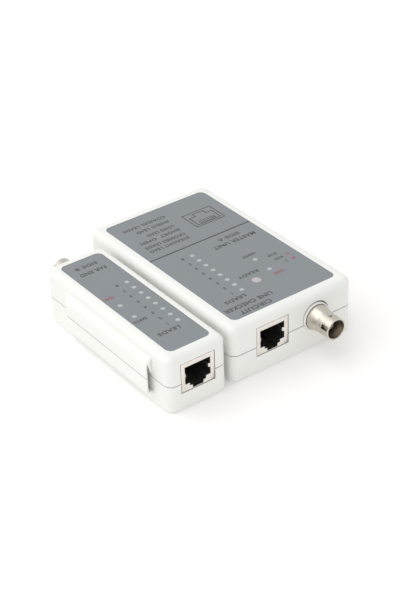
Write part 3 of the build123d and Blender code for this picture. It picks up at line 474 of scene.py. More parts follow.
def draw_painted_shade(tree: Tree, start: bpy.types.Node, end: bpy.types.Node) -> None:
    """Masks of painted shade for closed-in corners and for the deepest gaps, both found by ambient
    occlusion.

    Both fade out just above the floor, so that the floor does not count as a gap's other side.

    Args:
        tree: The group's tree.
        start: Its input node.
        end: Its output node.
    """
    faded, full = 0.25 * MM, 1.5 * MM
    corner, open_corner = 0.15, 0.8
    gap, open_gap = 0.12, 0.5
    hollow = tree.node("ShaderNodeAmbientOcclusion", samples=6)
    tree.join(start.outputs["Reach"], hollow.inputs["Distance"])
    parts = tree.node("ShaderNodeSeparateXYZ")
    tree.join(tree.place(), parts.inputs[0])
    raised = tree.span(parts.outputs["Z"], 0.0, 1.0, faded, full)
    closed = tree.span(hollow.outputs["AO"], 1.0, 0.0, corner, open_corner)
    shaded = tree.reckon("MULTIPLY", closed, raised)
    tree.join(tree.reckon("MULTIPLY", shaded, start.outputs["Amount"]), end.inputs["Mask"])
    narrow = tree.span(hollow.outputs["AO"], 1.0, 0.0, gap, open_gap)
    tree.join(tree.reckon("MULTIPLY", narrow, raised), end.inputs["Deep"])


GRAIN = Effect("skin_grain", (("Scale", "NodeSocketFloat", 2500.0), ("Swell", "NodeSocketFloat", 0.5)),
               (("Height", "NodeSocketFloat"),), draw_grain)
DRIFT = Effect("tone_drift",
               (("Colour", "NodeSocketColor", (0.8, 0.8, 0.8, 1.0)),
                ("Other", "NodeSocketColor", (0.7, 0.7, 0.7, 1.0)),
                ("Scale", "NodeSocketFloat", 60.0),
                ("Smooth", "NodeSocketFloat", 0.35),
                ("Rough", "NodeSocketFloat", 0.5)),
               (("Colour", "NodeSocketColor"), ("Roughness", "NodeSocketFloat")), draw_drift)
# Rubbed edges, also lightened as a painted highlight.
WORN_HIGHLIT_EDGES = Effect("worn_highlit_edges", (("Width", "NodeSocketFloat", 0.0004),), (("Mask", "NodeSocketFloat"),),
               draw_worn_highlit_edges)
# Painted shade: ambient occlusion darkens closed-in corners and narrow gaps in place of real shade.
PAINTED_SHADE = Effect("painted_corner_shade",
              (("Reach", "NodeSocketFloat", 0.001), ("Amount", "NodeSocketFloat", 0.5)),
              (("Mask", "NodeSocketFloat"), ("Deep", "NodeSocketFloat")), draw_painted_shade)


# ---------------------------------------------------------------- finishes
@dataclass(frozen=True)
class Finish:
    """A surface finish. Its colours drift a little, its edges show wearing and a painted highlight, and its
    corners and gaps are painted darker as shade.

    Attributes:
        name: The material's name.
        colour: Main colour.
        other: The colour it drifts towards.
        worn_highlit: Colour of a rubbed edge, lighter to paint a highlight on it.
        shade: Colour painted into its closed-in corners as shade.
        smooth: Roughness where it is smoothest.
        rough: Roughness where it is roughest.
        drift: Waves a metre of the slow colour drift.
        grain: Waves a metre of the fine skin.
        depth: Height of the skin, in millimetres.
        wear_and_highlight: How strongly edges show wearing and the painted highlight.
        shade_strength: How strongly the painted shade darkens its corners.
        reach: How far a corner's painted shade reaches, in millimetres.
        metal: Whether it is bare metal.
        coat: Weight of a clear coat.
        deep: How strongly the painted shade darkens its narrow gaps.
        gap: Colour painted down in its narrow gaps as shade.
        edge: Width of a rubbed, highlit edge, in millimetres.
    """

    name: str
    colour: Colour
    other: Colour
    worn_highlit: Colour
    shade: Colour
    smooth: float = 0.38
    rough: float = 0.5
    drift: float = 60.0
    grain: float = 2500.0
    depth: float = 0.012
    wear_and_highlight: float = 0.3
    shade_strength: float = 0.4
    reach: float = 1.0
    metal: bool = False
    coat: float = 0.0
    deep: float = 0.0
    gap: Colour = (0.02, 0.019, 0.017)
    edge: float = 0.35

    def pattern(self, tree: Tree, colour: bpy.types.NodeSocket) -> bpy.types.NodeSocket:
        """What the finish draws over its drifting colour. The plain finish draws nothing."""
        return colour

    def relief(self, tree: Tree, height: bpy.types.NodeSocket) -> bpy.types.NodeSocket:
        """What the finish adds to its skin. The plain finish adds nothing."""
        return height

    def material(self) -> bpy.types.Material:
        """The finish as a material, made the first time it is asked for.

        Returns:
            The material.
        """
        found = bpy.data.materials.get(f"finish_{self.name}")
        if found is not None:
            return found
        made = bpy.data.materials.new(f"finish_{self.name}")
        made.use_nodes = True
        made.node_tree.nodes.clear()
        tree = Tree(made.node_tree)
        shader = tree.node("ShaderNodeBsdfPrincipled")
        tree.join(shader.outputs[0], tree.node("ShaderNodeOutputMaterial").inputs["Surface"])
        shader.inputs["Metallic"].default_value = 1.0 if self.metal else 0.0
        shader.inputs["Coat Weight"].default_value = self.coat
        drift = DRIFT.use(tree, Colour=(*self.colour, 1.0), Other=(*self.other, 1.0), Scale=self.drift,
                          Smooth=self.smooth, Rough=self.rough)
        colour = self.pattern(tree, drift.outputs["Colour"])
        # Edges are lightened, partly as wearing and partly as a painted highlight.
        worn_highlit = WORN_HIGHLIT_EDGES.use(tree, Width=self.edge * MM).outputs["Mask"]
        colour = tree.blend(tree.reckon("MULTIPLY", worn_highlit, self.wear_and_highlight), colour, self.worn_highlit)
        # Painted shade: closed-in corners and narrow gaps are darkened by ambient occlusion in place of real
        # shade.
        hollow = PAINTED_SHADE.use(tree, Reach=self.reach * MM, Amount=self.shade_strength).outputs
        colour = tree.blend(hollow["Mask"], colour, self.shade)
        colour = tree.blend(tree.reckon("MULTIPLY", hollow["Deep"], self.deep), colour, self.gap)
        tree.feed(shader, Base_Color=colour, Roughness=drift.outputs["Roughness"])
        skin = GRAIN.use(tree, Scale=self.grain).outputs["Height"]
        bump = tree.node("ShaderNodeBump")
        tree.feed(bump, Height=self.relief(tree, skin), Distance=self.depth * MM, Strength=1.0)
        tree.join(bump.outputs["Normal"], shader.inputs["Normal"])
        return made


@dataclass(frozen=True)
class TurnedMetal(Finish):
    """Metal with the fine rings of a turning tool about the axis along Y.

    Attributes:
        rings: Waves a metre of the rings, along Y.
        cut: Height of the rings, as a share of the skin's.
    """

    rings: float = 5200.0
    cut: float = 0.35

    def relief(self, tree: Tree, height: bpy.types.NodeSocket) -> bpy.types.NodeSocket:
        """Adds rings to the skin.

        Args:
            tree: The material's tree.
            height: Height of the skin.

        Returns:
            Height of the skin and the rings.
        """
        wave = tree.node("ShaderNodeTexWave", wave_type="BANDS", bands_direction="Y")
        tree.feed(wave, Vector=tree.place(), Scale=self.rings, Distortion=0.8, Detail=1.0)
        return tree.reckon("MULTIPLY_ADD", wave.outputs["Fac"], self.cut, height)


@dataclass(frozen=True)
class Laminate(Finish):
    """Solder mask with copper tracks showing through.

    Attributes:
        track: Colour over a track.
        pitch: Tracks a metre.
        strength: How strongly the tracks show.
    """

    track: Colour = (0.10, 0.34, 0.15)
    pitch: float = 420.0
    strength: float = 0.8

    def pattern(self, tree: Tree, colour: bpy.types.NodeSocket) -> bpy.types.NodeSocket:
        """Draws the tracks.

        Args:
            tree: The material's tree.
            colour: The mask's colour.

        Returns:
            The colour with its tracks.
        """
        brick = tree.node("ShaderNodeTexBrick", offset=0.5)
        tree.feed(brick, Vector=tree.place(), Scale=self.pitch, Mortar_Size=0.05, Mortar_Smooth=0.2)
        return tree.blend(tree.reckon("MULTIPLY", brick.outputs["Fac"], self.strength), colour, self.track)


@dataclass(frozen=True)
class BandedJacket(Finish):
    """Battery jacket with a lighter band round its terminal end.

    Attributes:
        band: Colour of the band.
        line: Colour of the thin line before it.
        band_start: Where the band starts along X, in millimetres.
        line_width: Width of the line, in millimetres.
        fade: Width of the edge of a print, in millimetres.
    """

    band: Colour = (0.62, 0.36, 0.12)
    line: Colour = (0.7, 0.7, 0.66)
    band_start: float = 12.0
    line_width: float = 0.9
    fade: float = 0.1

    def pattern(self, tree: Tree, colour: bpy.types.NodeSocket) -> bpy.types.NodeSocket:
        """Draws the band, with a thin pale line before it.

        Args:
            tree: The material's tree.
            colour: The jacket's colour.

        Returns:
            The colour with its band and line.
        """
        parts = tree.node("ShaderNodeSeparateXYZ")
        tree.join(tree.place(), parts.inputs[0])
        across = parts.outputs["X"]
        start = self.band_start * MM
        line_start = start - self.line_width * MM
        line = tree.span(across, 0.0, 1.0, line_start, line_start + self.fade * MM)
        band = tree.span(across, 0.0, 1.0, start, start + self.fade * MM)
        return tree.blend(band, tree.blend(line, colour, self.line), self.band)


# Lighter edge colour of black parts: rubbed edges with a painted highlight.
BLACK_WORN_HIGHLIT: Colour = (0.06, 0.06, 0.062)
# Colour painted into the corners of black parts as shade.
BLACK_SHADE: Colour = (0.004, 0.004, 0.004)

# After its name and four colours (its own, the one it drifts to, a lighter one for rubbed edges with a
# painted highlight, and the painted shade of its corners), a finish's plain numbers run in the order of its
# fields: smooth, rough, drift, grain, depth, wear, dust, reach.
FINISHES: dict[str, Finish] = {finish.name: finish for finish in (
    Finish("case_plastic", (0.845, 0.85, 0.815), (0.825, 0.83, 0.795), (0.90, 0.90, 0.875),
           (0.52, 0.515, 0.48), 0.40, 0.50, 45.0, 2600.0, 0.010, 0.35, 0.55, 0.9,
           deep=0.9),
    Finish("label_sheet", (0.225, 0.243, 0.262), (0.215, 0.238, 0.252), (0.30, 0.32, 0.34),
           (0.12, 0.13, 0.14), 0.36, 0.46, 110.0, 3400.0, 0.006, 0.3, 0.2, 0.5),
    Finish("lamp_lens", (0.46, 0.50, 0.515), (0.39, 0.425, 0.44), (0.48, 0.52, 0.54),
           (0.30, 0.32, 0.33), 0.16, 0.26, 300.0, 3000.0, 0.004, 0.2, 0.2, 0.4, coat=0.6),
    Finish("power_lens", (0.53, 0.48, 0.50), (0.46, 0.42, 0.44), (0.56, 0.50, 0.52),
           (0.32, 0.29, 0.30), 0.16, 0.26, 300.0, 3000.0, 0.004, 0.2, 0.2, 0.4, coat=0.6),
    Laminate("board_laminate", (0.035, 0.19, 0.075), (0.03, 0.165, 0.065),
             (0.30, 0.28, 0.16), (0.012, 0.06, 0.025), 0.22, 0.34, coat=0.3),
    Finish("chip_resin", (0.024, 0.024, 0.026), (0.034, 0.034, 0.035), BLACK_WORN_HIGHLIT,
           BLACK_SHADE, 0.55, 0.7, grain=3800.0, depth=0.02),
    Finish("capacitor_sleeve", (0.02, 0.035, 0.12), (0.03, 0.045, 0.14),
           (0.4, 0.4, 0.42), (0.006, 0.01, 0.03), 0.22, 0.34, coat=0.3),
    Finish("resistor_lacquer", (0.62, 0.48, 0.30), (0.56, 0.42, 0.26),
           (0.7, 0.6, 0.45), (0.25, 0.18, 0.10), 0.25, 0.4, coat=0.3),
    Finish("tinned_sheet", (0.83, 0.79, 0.74), (0.76, 0.72, 0.67), (0.92, 0.90, 0.87),
           (0.40, 0.36, 0.32), 0.26, 0.40, 380.0, 4200.0, 0.004, 0.5, 0.3, 0.9, metal=True,
           deep=0.95),
    Finish("socket_plastic", (0.012, 0.012, 0.013), (0.018, 0.018, 0.018), BLACK_WORN_HIGHLIT,
           BLACK_SHADE, 0.34, 0.48, grain=3200.0, wear_and_highlight=0.6),
    Finish("contact_gold", (0.80, 0.58, 0.24), (0.72, 0.50, 0.20), (0.9, 0.72, 0.4),
           (0.30, 0.20, 0.08), 0.2, 0.32, 600.0, 4200.0, 0.003, metal=True),
    # Its dark shade colour and long reach paint the inside of the bore dark as shade.
    TurnedMetal("nickel_plate", (0.68, 0.65, 0.575), (0.61, 0.58, 0.505),
                (0.84, 0.81, 0.73), (0.14, 0.11, 0.085), 0.30, 0.42, 240.0, 3600.0,
                0.004, 0.5, 0.85, 4.0, metal=True, deep=0.6),
    Finish("insulator_plastic", (0.42, 0.35, 0.28), (0.36, 0.30, 0.24),
           (0.5, 0.44, 0.36), (0.16, 0.12, 0.09), 0.4, 0.55),
    Finish("bushing_plastic", (0.84, 0.84, 0.805), (0.82, 0.82, 0.785),
           (0.9, 0.9, 0.88), (0.5, 0.49, 0.46), 0.30, 0.40, depth=0.004, deep=0.9),
    Finish("screw_steel", (0.58, 0.58, 0.59), (0.50, 0.50, 0.52), (0.75, 0.75, 0.76),
           (0.2, 0.19, 0.17), 0.3, 0.45, 300.0, 3800.0, 0.006, 0.6, 0.5, metal=True),
    Finish("knob_plastic", (0.018, 0.018, 0.02), (0.026, 0.026, 0.028), BLACK_WORN_HIGHLIT,
           BLACK_SHADE, 0.4, 0.55, wear_and_highlight=0.6),
    BandedJacket("battery_jacket", (0.03, 0.034, 0.045), (0.045, 0.05, 0.062),
                 (0.42, 0.42, 0.44), (0.01, 0.01, 0.012), 0.24, 0.36, coat=0.3),
    Finish("snap_plastic", (0.026, 0.026, 0.027), (0.036, 0.036, 0.037), BLACK_WORN_HIGHLIT,
           BLACK_SHADE, 0.5, 0.64),
    Finish("lead_red", (0.42, 0.02, 0.02), (0.36, 0.018, 0.018), (0.55, 0.08, 0.07),
           (0.12, 0.006, 0.006), 0.4, 0.52),
    Finish("lead_black", (0.016, 0.016, 0.017), (0.022, 0.022, 0.023), BLACK_WORN_HIGHLIT,
           BLACK_SHADE, 0.4, 0.52),
)}
INKS: dict[Ink, Finish] = {
    Ink.DARK: Finish("ink_dark", (0.05, 0.052, 0.058), (0.075, 0.078, 0.084), (0.15, 0.155, 0.16),
                     (0.05, 0.05, 0.055), 0.42, 0.55, 900.0, 3600.0, 0.003, 0.1, 0.0),
    Ink.RED: Finish("ink_red", (0.40, 0.045, 0.075), (0.34, 0.06, 0.085), (0.42, 0.15, 0.17),
                    (0.2, 0.03, 0.04), 0.42, 0.55, 900.0, 3600.0, 0.003, 0.1, 0.0),
}


def dress(piece: bpy.types.Object, finish: Finish) -> None:
    """Gives a piece one finish all over."""
    piece.data.materials.clear()
    piece.data.materials.append(finish.material())


def dress_frame() -> None:
    """Gives every frame node that shows the finish of its slot."""
    for part in frame["record"]["subparts"]:
        node = frame["nodes"][part["node"]]
        for slot in node.material_slots:
            slot.material = FINISHES[part["material_slot"]].material()


# ---------------------------------------------------------------- label print
@dataclass(frozen=True)
class Word:
    """A word on a label, read from the far end.

    Attributes:
        text: The letters.
        middle: Its centre, in millimetres from the label's centre.
        width: Its length along X, in millimetres, or zero for the font's own shape.
        height: Height of its letters, in millimetres.
        ink: Its colour.
    """

    text: str
    middle: Point
    width: float
    height: float
    ink: Ink = Ink.DARK


@dataclass
class LabelPrint:
    """The raised print on one unit's label.

    Attributes:
        unit: The unit it is on.
        words: The words.
        digit_offset: Distance of the digits beside the lamps, along X, in millimetres.
        digit_height: Height of a digit, in millimetres.
        thickness: Thickness of the ink, in millimetres.
        weight: How much bolder the strokes are, as a share of the letters' size.
        spacing: Space between letters, as a share of the font's own.
        curve_steps: Straight steps in a curve of a letter.
        lamp_rim: Radius of a lamp's rim, in millimetres.
        lamp_count: Number of lamps with a digit.
        made: The pieces made so far, by their ink.
    """

    unit: Unit
    words: tuple[Word, ...]
    digit_offset: float = -4.9
    digit_height: float = 1.7
    thickness: float = 0.03
    weight: float = 0.026
    spacing: float = 1.12
    curve_steps: int = 3
    lamp_rim: float = 1.85
    lamp_count: int = 8
    made: dict[Ink, list[bpy.types.Object]] = field(default_factory=lambda: {ink: [] for ink in Ink})

    @property
    def surface(self) -> float:
        """Height of the label's face."""
        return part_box(self.unit.node("label"))[1].z

    @property
    def centre(self) -> Vector:
        """Centre of the label."""
        low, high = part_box(self.unit.node("label"))
        return (low + high) / 2

    def lamps(self) -> list[Point]:
        """Finds the numbered lamps.

        Returns:
            Their centres, nearest the sockets first, in metres.
        """
        low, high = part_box(self.unit.node("pin_lamps"))
        first = low.y + self.lamp_rim * MM
        pitch = (high.y - low.y - 2 * self.lamp_rim * MM) / (self.lamp_count - 1)
        return [((low.x + high.x) / 2, first + i * pitch) for i in range(self.lamp_count)]

    def write(self, word: Word) -> None:
        """Makes one word as a thin solid mesh on the label's face.

        Args:
            word: The word.
        """
        clear_bench()
        bpy.ops.object.text_add()
        piece = bpy.context.object
        piece.data.body = word.text
        piece.data.resolution_u = self.curve_steps
        piece.data.space_character = self.spacing
        piece.data.offset = self.weight
        bpy.ops.object.convert(target="MESH")
        piece = bpy.context.object
        bpy.ops.object.origin_set(type="ORIGIN_GEOMETRY", center="BOUNDS")
        tall = word.height * MM / piece.dimensions.y
        wide = word.width * MM / piece.dimensions.x if word.width else tall
        piece.scale = (wide, tall, 1.0)
        piece.rotation_euler = (0.0, 0.0, HALF_TURN)
        piece.location = (self.centre.x + word.middle[0] * MM, self.centre.y + word.middle[1] * MM,
                          self.surface)
        settle(piece)
        self.lift(piece, word.ink)

    def lift(self, piece: bpy.types.Object, ink: Ink) -> None:
        """Gives flat print its thickness and keeps it with its ink.

        Args:
            piece: The flat print.
            ink: Its colour.
        """
        mend(piece)
        apply_modifier(piece, "SOLIDIFY", thickness=self.thickness * MM, offset=1.0)
        mend(piece)
        self.made[ink].append(piece)

    def sheet(self, middle: Point, size: Point) -> bpy.types.Object:
        """A flat sheet on the label, to cut print from.

        Args:
            middle: Its centre, in millimetres from the label's centre.
            size: Its width and length, in millimetres.

        Returns:
            The sheet, with its place in its mesh.
        """
        clear_bench()
        place = (self.centre.x + middle[0] * MM, self.centre.y + middle[1] * MM, self.surface)
        bpy.ops.mesh.primitive_plane_add(size=1.0, location=place)
        piece = bpy.context.object
        piece.scale = (size[0] * MM, size[1] * MM, 1.0)
        settle(piece)
        return piece

    def outline(self, piece: bpy.types.Object, stroke: float, ink: Ink) -> None:
        """Keeps only a border of a flat sheet, and prints it.

        Args:
            piece: The sheet.
            stroke: Width of the border, in millimetres.
            ink: Its colour.
        """
        pick(piece)
        choose(piece, "FACE", everything)
        bpy.ops.mesh.dissolve_faces()
        bpy.ops.mesh.inset(thickness=stroke * MM, use_boundary=True)
        bpy.ops.mesh.delete(type="FACE")
        bpy.ops.object.mode_set(mode="OBJECT")
        self.lift(piece, ink)

    def number(self) -> None:
        """Writes the digits beside the lamps."""
        for i, (x, y) in enumerate(self.lamps()):
            middle = (x / MM + self.digit_offset - self.centre.x / MM, (y - self.centre.y) / MM)
            self.write(Word(str(i + 1), middle, 0.0, self.digit_height))

    def extras(self) -> None:
        """Print other than words. The plain label has none."""

    def build(self) -> None:
        """Makes the print and sets it on its unit."""
        self.number()
        for word in self.words:
            self.write(word)
        self.extras()
        for ink, pieces in self.made.items():
            if pieces:
                piece = joined(self.unit.node(f"print_{ink.value}"), pieces)
                dress(piece, INKS[ink])
                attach(piece, self.unit.body)
                log.info("%s: %d faces", piece.name, len(piece.data.polygons))


@dataclass
class MainLabelPrint(LabelPrint):
    """Print of the main unit: words, a dividing line, a socket sign and two switch marks.

    Attributes:
        line_y: The dividing line, in millimetres from the label's centre, as all places here.
        line_width: Its width, in millimetres, as all sizes here.
        sign_middle: Centre of the frame round the socket sign.
        sign_size: Outer size of that frame.
        socket_middle: Centre of the socket's outline, without its notch.
        socket_size: Size of the outline, without its notch.
        notch_width: Width of the notch.
        notch_height: Height of the notch.
        stroke: Width of the sign's lines.
        contact_length: Length of a contact line.
        contact_count: Number of contact lines.
        contact_pitch: From one contact line to the next.
        contact_share: Width of a contact line, as a share of the stroke.
        open_mark: Centre of the open switch mark.
        full_mark: Centre of the filled switch mark.
        mark_radius: Radius round a switch mark.
        mark_share: Width of the open mark's line, as a share of the stroke.
    """

    line_y: float = 11.4
    line_width: float = 0.45
    sign_middle: Point = (13.55, 27.4)
    sign_size: Point = (15.3, 11.8)
    socket_middle: Point = (13.55, 26.2)
    socket_size: Point = (12.3, 7.0)
    notch_width: float = 6.0
    notch_height: float = 2.2
    stroke: float = 0.42
    contact_length: float = 3.2
    contact_count: int = 8
    contact_pitch: float = 1.1
    contact_share: float = 0.8
    open_mark: Point = (22.1, -19.8)
    full_mark: Point = (22.0, -24.0)
    mark_radius: float = 1.1
    mark_share: float = 0.6

    def socket_sign(self) -> None:
        """A frame round the outline of a socket with its notch and contact lines."""
        self.outline(self.sheet(self.sign_middle, self.sign_size), self.stroke, Ink.DARK)
        face = self.sheet(self.socket_middle, self.socket_size)
        x = self.centre.x + self.socket_middle[0] * MM
        half = self.notch_width / 2 * MM
        for side in (-1, 1):
            choose(face, "FACE", everything)
            bpy.ops.mesh.bisect(plane_co=(x + side * half, 0.0, 0.0), plane_no=(1.0, 0.0, 0.0))
            bpy.ops.object.mode_set(mode="OBJECT")
        top = self.centre.y + (self.socket_middle[1] + self.socket_size[1] / 2) * MM
        choose(face, "EDGE", lambda middle, way: abs(middle.y - top) < NEAR and abs(middle.x - x) < half / 2)
        step = (0.0, self.notch_height * MM, 0.0)
        bpy.ops.mesh.extrude_region_move(TRANSFORM_OT_translate={"value": step})
        bpy.ops.object.mode_set(mode="OBJECT")
        self.outline(face, self.stroke, Ink.DARK)
        low = self.socket_middle[1] - self.socket_size[1] / 2 + self.contact_length / 2
        for i in range(self.contact_count):
            offset = (i - (self.contact_count - 1) / 2) * self.contact_pitch
            size = (self.stroke * self.contact_share, self.contact_length)
            self.lift(self.sheet((self.socket_middle[0] + offset, low), size), Ink.DARK)

    def triangle(self, middle: Point) -> bpy.types.Object:
        """A small triangle that points at the switch.

        Args:
            middle: Its centre.

        Returns:
            The triangle, flat on the label.
        """
        clear_bench()
        place = (self.centre.x + middle[0] * MM, self.centre.y + middle[1] * MM, self.surface)
        bpy.ops.mesh.primitive_circle_add(vertices=3, radius=self.mark_radius * MM, fill_type="NGON",
                                          location=place, rotation=(0.0, 0.0, -HALF_TURN / 2))
        piece = bpy.context.object
        settle(piece)
        return piece

    def extras(self) -> None:
        """Adds the line, the socket sign and the switch marks."""
        low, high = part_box(self.unit.node("label"))
        width = (high.x - low.x) / MM
        self.lift(self.sheet((0.0, self.line_y), (width, self.line_width)), Ink.DARK)
        self.socket_sign()
        self.outline(self.triangle(self.open_mark), self.stroke * self.mark_share, Ink.RED)
        self.lift(self.triangle(self.full_mark), Ink.RED)


MAIN_WORDS = (
    Word("CIRCUIT", (-12.9, -42.9), 15.4, 2.4),
    Word("LINE CHECKER", (-13.45, -38.6), 23.7, 2.4),
    Word("LEADS", (-16.0, -33.5), 10.2, 2.1),
    Word("READY", (-0.6, -22.1), 10.2, 1.9),
    Word("EARTH", (8.7, -10.7), 6.2, 1.7),
    Word("COAX", (10.25, -28.6), 5.1, 1.7, Ink.RED),
    Word("STOP", (16.6, -16.3), 4.6, 1.6),
    Word("RUN", (17.1, -20.2), 4.0, 1.6),
    Word("2", (18.3, -23.8), 0.0, 1.6),
    Word("MASTER UNIT", (11.5, 2.6), 21.8, 2.3),
    Word("SIDE A", (11.55, 6.8), 11.1, 2.1),
    Word("STRAIGHT LEAD", (-11.65, 17.5), 20.1, 1.9),
    Word("CROSSED LEADS", (-11.25, 21.0), 20.5, 1.9),
    Word("OPEN", (-17.1, 25.3), 8.0, 1.9),
    Word("SHORT", (-5.85, 25.3), 10.3, 1.9),
    Word("LONG LEAD", (-8.05, 29.2), 13.9, 1.9),
    Word("SHIELD LEAD", (-8.9, 33.9), 16.6, 1.9),
    Word("COAXIAL LEADS", (-10.35, 38.3), 21.9, 1.9),
)
REMOTE_WORDS = (
    Word("LEADS", (-1.35, -26.95), 10.2, 2.1),
    Word("EARTH", (-6.0, -13.95), 6.1, 1.7),
    Word("COAX", (-6.8, 6.75), 4.3, 1.7, Ink.RED),
    Word("FAR END", (-0.3, 28.25), 12.5, 2.3),
    Word("SIDE B", (-0.4, 33.45), 10.5, 2.1),
)


# ---------------------------------------------------------------- lamps
@dataclass
class LampSet:
    """Lamps of one kind, each with its dome brought up level with the label.

    Attributes:
        unit: The unit they are on.
        part: Name of the frame node, after the unit's.
        slot: Its material slot.
        rim: Radius that fills the label's window, in millimetres.
        level: How far the domes stand over the label, in millimetres.
        rise: Height of a lens, in millimetres.
        wall: Share of that height that is its upright wall.
        steps: Shares of the rest that each step of the dome rises.
        step_width: Width of a step, as a share of the rim.
        sides: Number of sides of a lens.
        easing: Width of the lamps' own broken edges, in millimetres.
        smoothest: Edges that turn less than this many degrees are shaded smooth.
    """

    unit: Unit
    part: str
    slot: str
    rim: float
    level: float = 0.06
    rise: float = 0.3
    wall: float = 0.55
    steps: tuple[float, ...] = (0.6, 0.3, 0.1)
    step_width: float = 0.25
    sides: int = 32
    easing: float = 0.05
    smoothest: float = 50.0

    def lens(self, x: float, y: float, top: float) -> bpy.types.Object:
        """A shallow domed disc in a window of the label.

        Args:
            x: Middle of the lamp along X, in metres.
            y: Middle of the lamp along Y, in metres.
            top: Height of the dome's top, in metres.

        Returns:
            The disc.
        """
        clear_bench()
        low = top - self.rise * MM
        bpy.ops.mesh.primitive_circle_add(vertices=self.sides, radius=self.rim * MM, fill_type="NGON",
                                          location=(x, y, low))
        piece = bpy.context.object
        settle(piece)
        choose(piece, "FACE", everything)
        step = (0.0, 0.0, self.rise * self.wall * MM)
        bpy.ops.mesh.extrude_region_move(TRANSFORM_OT_translate={"value": step})
        for share in self.steps:
            bpy.ops.mesh.inset(thickness=self.rim * self.step_width * MM)
            bpy.ops.transform.translate(value=(0.0, 0.0, self.rise * (1.0 - self.wall) * share * MM))
        bpy.ops.object.mode_set(mode="OBJECT")
        mend(piece)
        return piece

    def build(self) -> None:
        """Makes a lens over each lamp of the node and joins them to a copy of the lamps."""
        node = self.unit.node(self.part)
        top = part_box(self.unit.node("label"))[1].z + self.level * MM
        tips = [vertex.co for vertex in frame["nodes"][node].data.vertices]
        peak = max(tip.z for tip in tips)
        summits = [tip for tip in tips if tip.z > peak - NEAR]
        places = sorted({(round(tip.x / MM, 1), round(tip.y / MM, 1)) for tip in summits})
        pieces = [self.lens(x * MM, y * MM, top) for x, y in places]
        body = eased_copy(node, self.easing)
        made = joined(f"{node}_piece", [body, *pieces])
        pick(made)
        bpy.ops.object.shade_smooth_by_angle(angle=math.radians(self.smoothest))
        dress(made, FINISHES[self.slot])
        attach(made, self.unit.body)
        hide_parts(node)
        log.info("%s: %d lenses", made.name, len(places))


SMALL_RIM = 1.08
POWER_RIM = 1.98
LAMPS = (
    LampSet(Unit.MAIN, "pin_lamps", "lamp_lens", SMALL_RIM),
    LampSet(Unit.MAIN, "status_lamps", "lamp_lens", SMALL_RIM),
    LampSet(Unit.MAIN, "power_lamp", "power_lens", POWER_RIM),
    LampSet(Unit.REMOTE, "pin_lamps", "lamp_lens", SMALL_RIM),
    LampSet(Unit.REMOTE, "status_lamps", "lamp_lens", SMALL_RIM),
)


# ---------------------------------------------------------------- data sockets
@dataclass
class DataSocket:
    """Shield, moulding and contacts of one data socket, with the shield's side springs.

    Attributes:
        unit: The unit it belongs to.
        easing: Each part's name after the unit's, and the width of its broken edges, in millimetres.
        spring_slot: Material slot of the side springs.
        spring_easing: Width of a spring's broken edges, in millimetres.
        spring_height: Height of a side spring, in millimetres.
        spring_drop: From the mouth's top to the spring's top, in millimetres.
        spring_rise: How far the spring stands into the mouth, in millimetres.
        spring_length: How far it runs back, in millimetres.
        spring_setback: From the shield's face to where it starts, in millimetres.
        spring_nose: Share of its length that rises from the wall.
        spring_thickness: Thickness of its sheet, in millimetres.
        mouth_width: Width of the mouth, in millimetres.
        mouth_top: From the shield's top to the mouth's, in millimetres.
        steps: Number of straight stretches in a spring.
    """

    unit: Unit
    easing: tuple[tuple[str, float], ...] = (("jack_shield", 0.22), ("jack_insert", 0.1),
                                             ("jack_contacts", 0.05))
    spring_slot: str = "tinned_sheet"
    spring_easing: float = 0.03
    spring_height: float = 1.7
    spring_drop: float = 3.2
    spring_rise: float = 0.75
    spring_length: float = 5.0
    spring_setback: float = 0.05
    spring_nose: float = 0.1
    spring_thickness: float = 0.16
    mouth_width: float = 12.2
    mouth_top: float = 2.1
    steps: int = 10

    def spring(self, side: int) -> bpy.types.Object:
        """One bowed spring finger on a side of the mouth.

        Args:
            side: -1 for the side towards the remote, 1 for the other.

        Returns:
            The finger.
        """
        low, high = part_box(self.unit.node("jack_shield"))
        wall = (low.x + high.x) / 2 + side * self.mouth_width / 2 * MM
        top = high.z - (self.mouth_top + self.spring_drop) * MM
        start = low.y + self.spring_setback * MM
        clear_bench()
        middle = (wall, start + self.spring_length / 2 * MM, top - self.spring_height / 2 * MM)
        bpy.ops.mesh.primitive_plane_add(size=1.0, location=middle, rotation=(0.0, HALF_TURN / 2, 0.0))
        piece = bpy.context.object
        piece.scale = (self.spring_height * MM, self.spring_length * MM, 1.0)
        settle(piece)
        shares = [i / self.steps for i in range(1, self.steps)]
        cuts = [start + self.spring_length * MM * along for along in shares]
        for cut in cuts:
            choose(piece, "FACE", everything)
            bpy.ops.mesh.bisect(plane_co=(0.0, cut, 0.0), plane_no=(0.0, 1.0, 0.0))
            bpy.ops.object.mode_set(mode="OBJECT")
        for along, cut in zip(shares, cuts):
            share = min(along / self.spring_nose, (1.0 - along) / (1.0 - self.spring_nose))
            choose(piece, "EDGE", lambda middle, way: abs(middle.y - cut) < NEAR)
            bpy.ops.transform.translate(value=(-side * self.spring_rise * MM * share, 0.0, 0.0))
            bpy.ops.object.mode_set(mode="OBJECT")
        apply_modifier(piece, "SOLIDIFY", thickness=self.spring_thickness * MM, offset=0.0)
        mend(piece)
        return piece

    def build(self) -> None:
        """Makes the socket's pieces and sets them on the unit."""
        for part, radius in self.easing:
            node = self.unit.node(part)
            piece = eased_copy(node, radius)
            slot = next(p["material_slot"] for p in frame["record"]["subparts"] if p["node"] == node)
            dress(piece, FINISHES[slot])
            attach(piece, self.unit.body)
            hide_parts(node)
            log.info("%s: %d faces", piece.name, len(piece.data.polygons))
        springs = joined(self.unit.node("jack_springs"), [self.spring(side) for side in (-1, 1)])
        ease_edges(springs, self.spring_easing)
        dress(springs, FINISHES[self.spring_slot])
        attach(springs, self.unit.body)
        log.info("%s: %d faces", springs.name, len(springs.data.polygons))


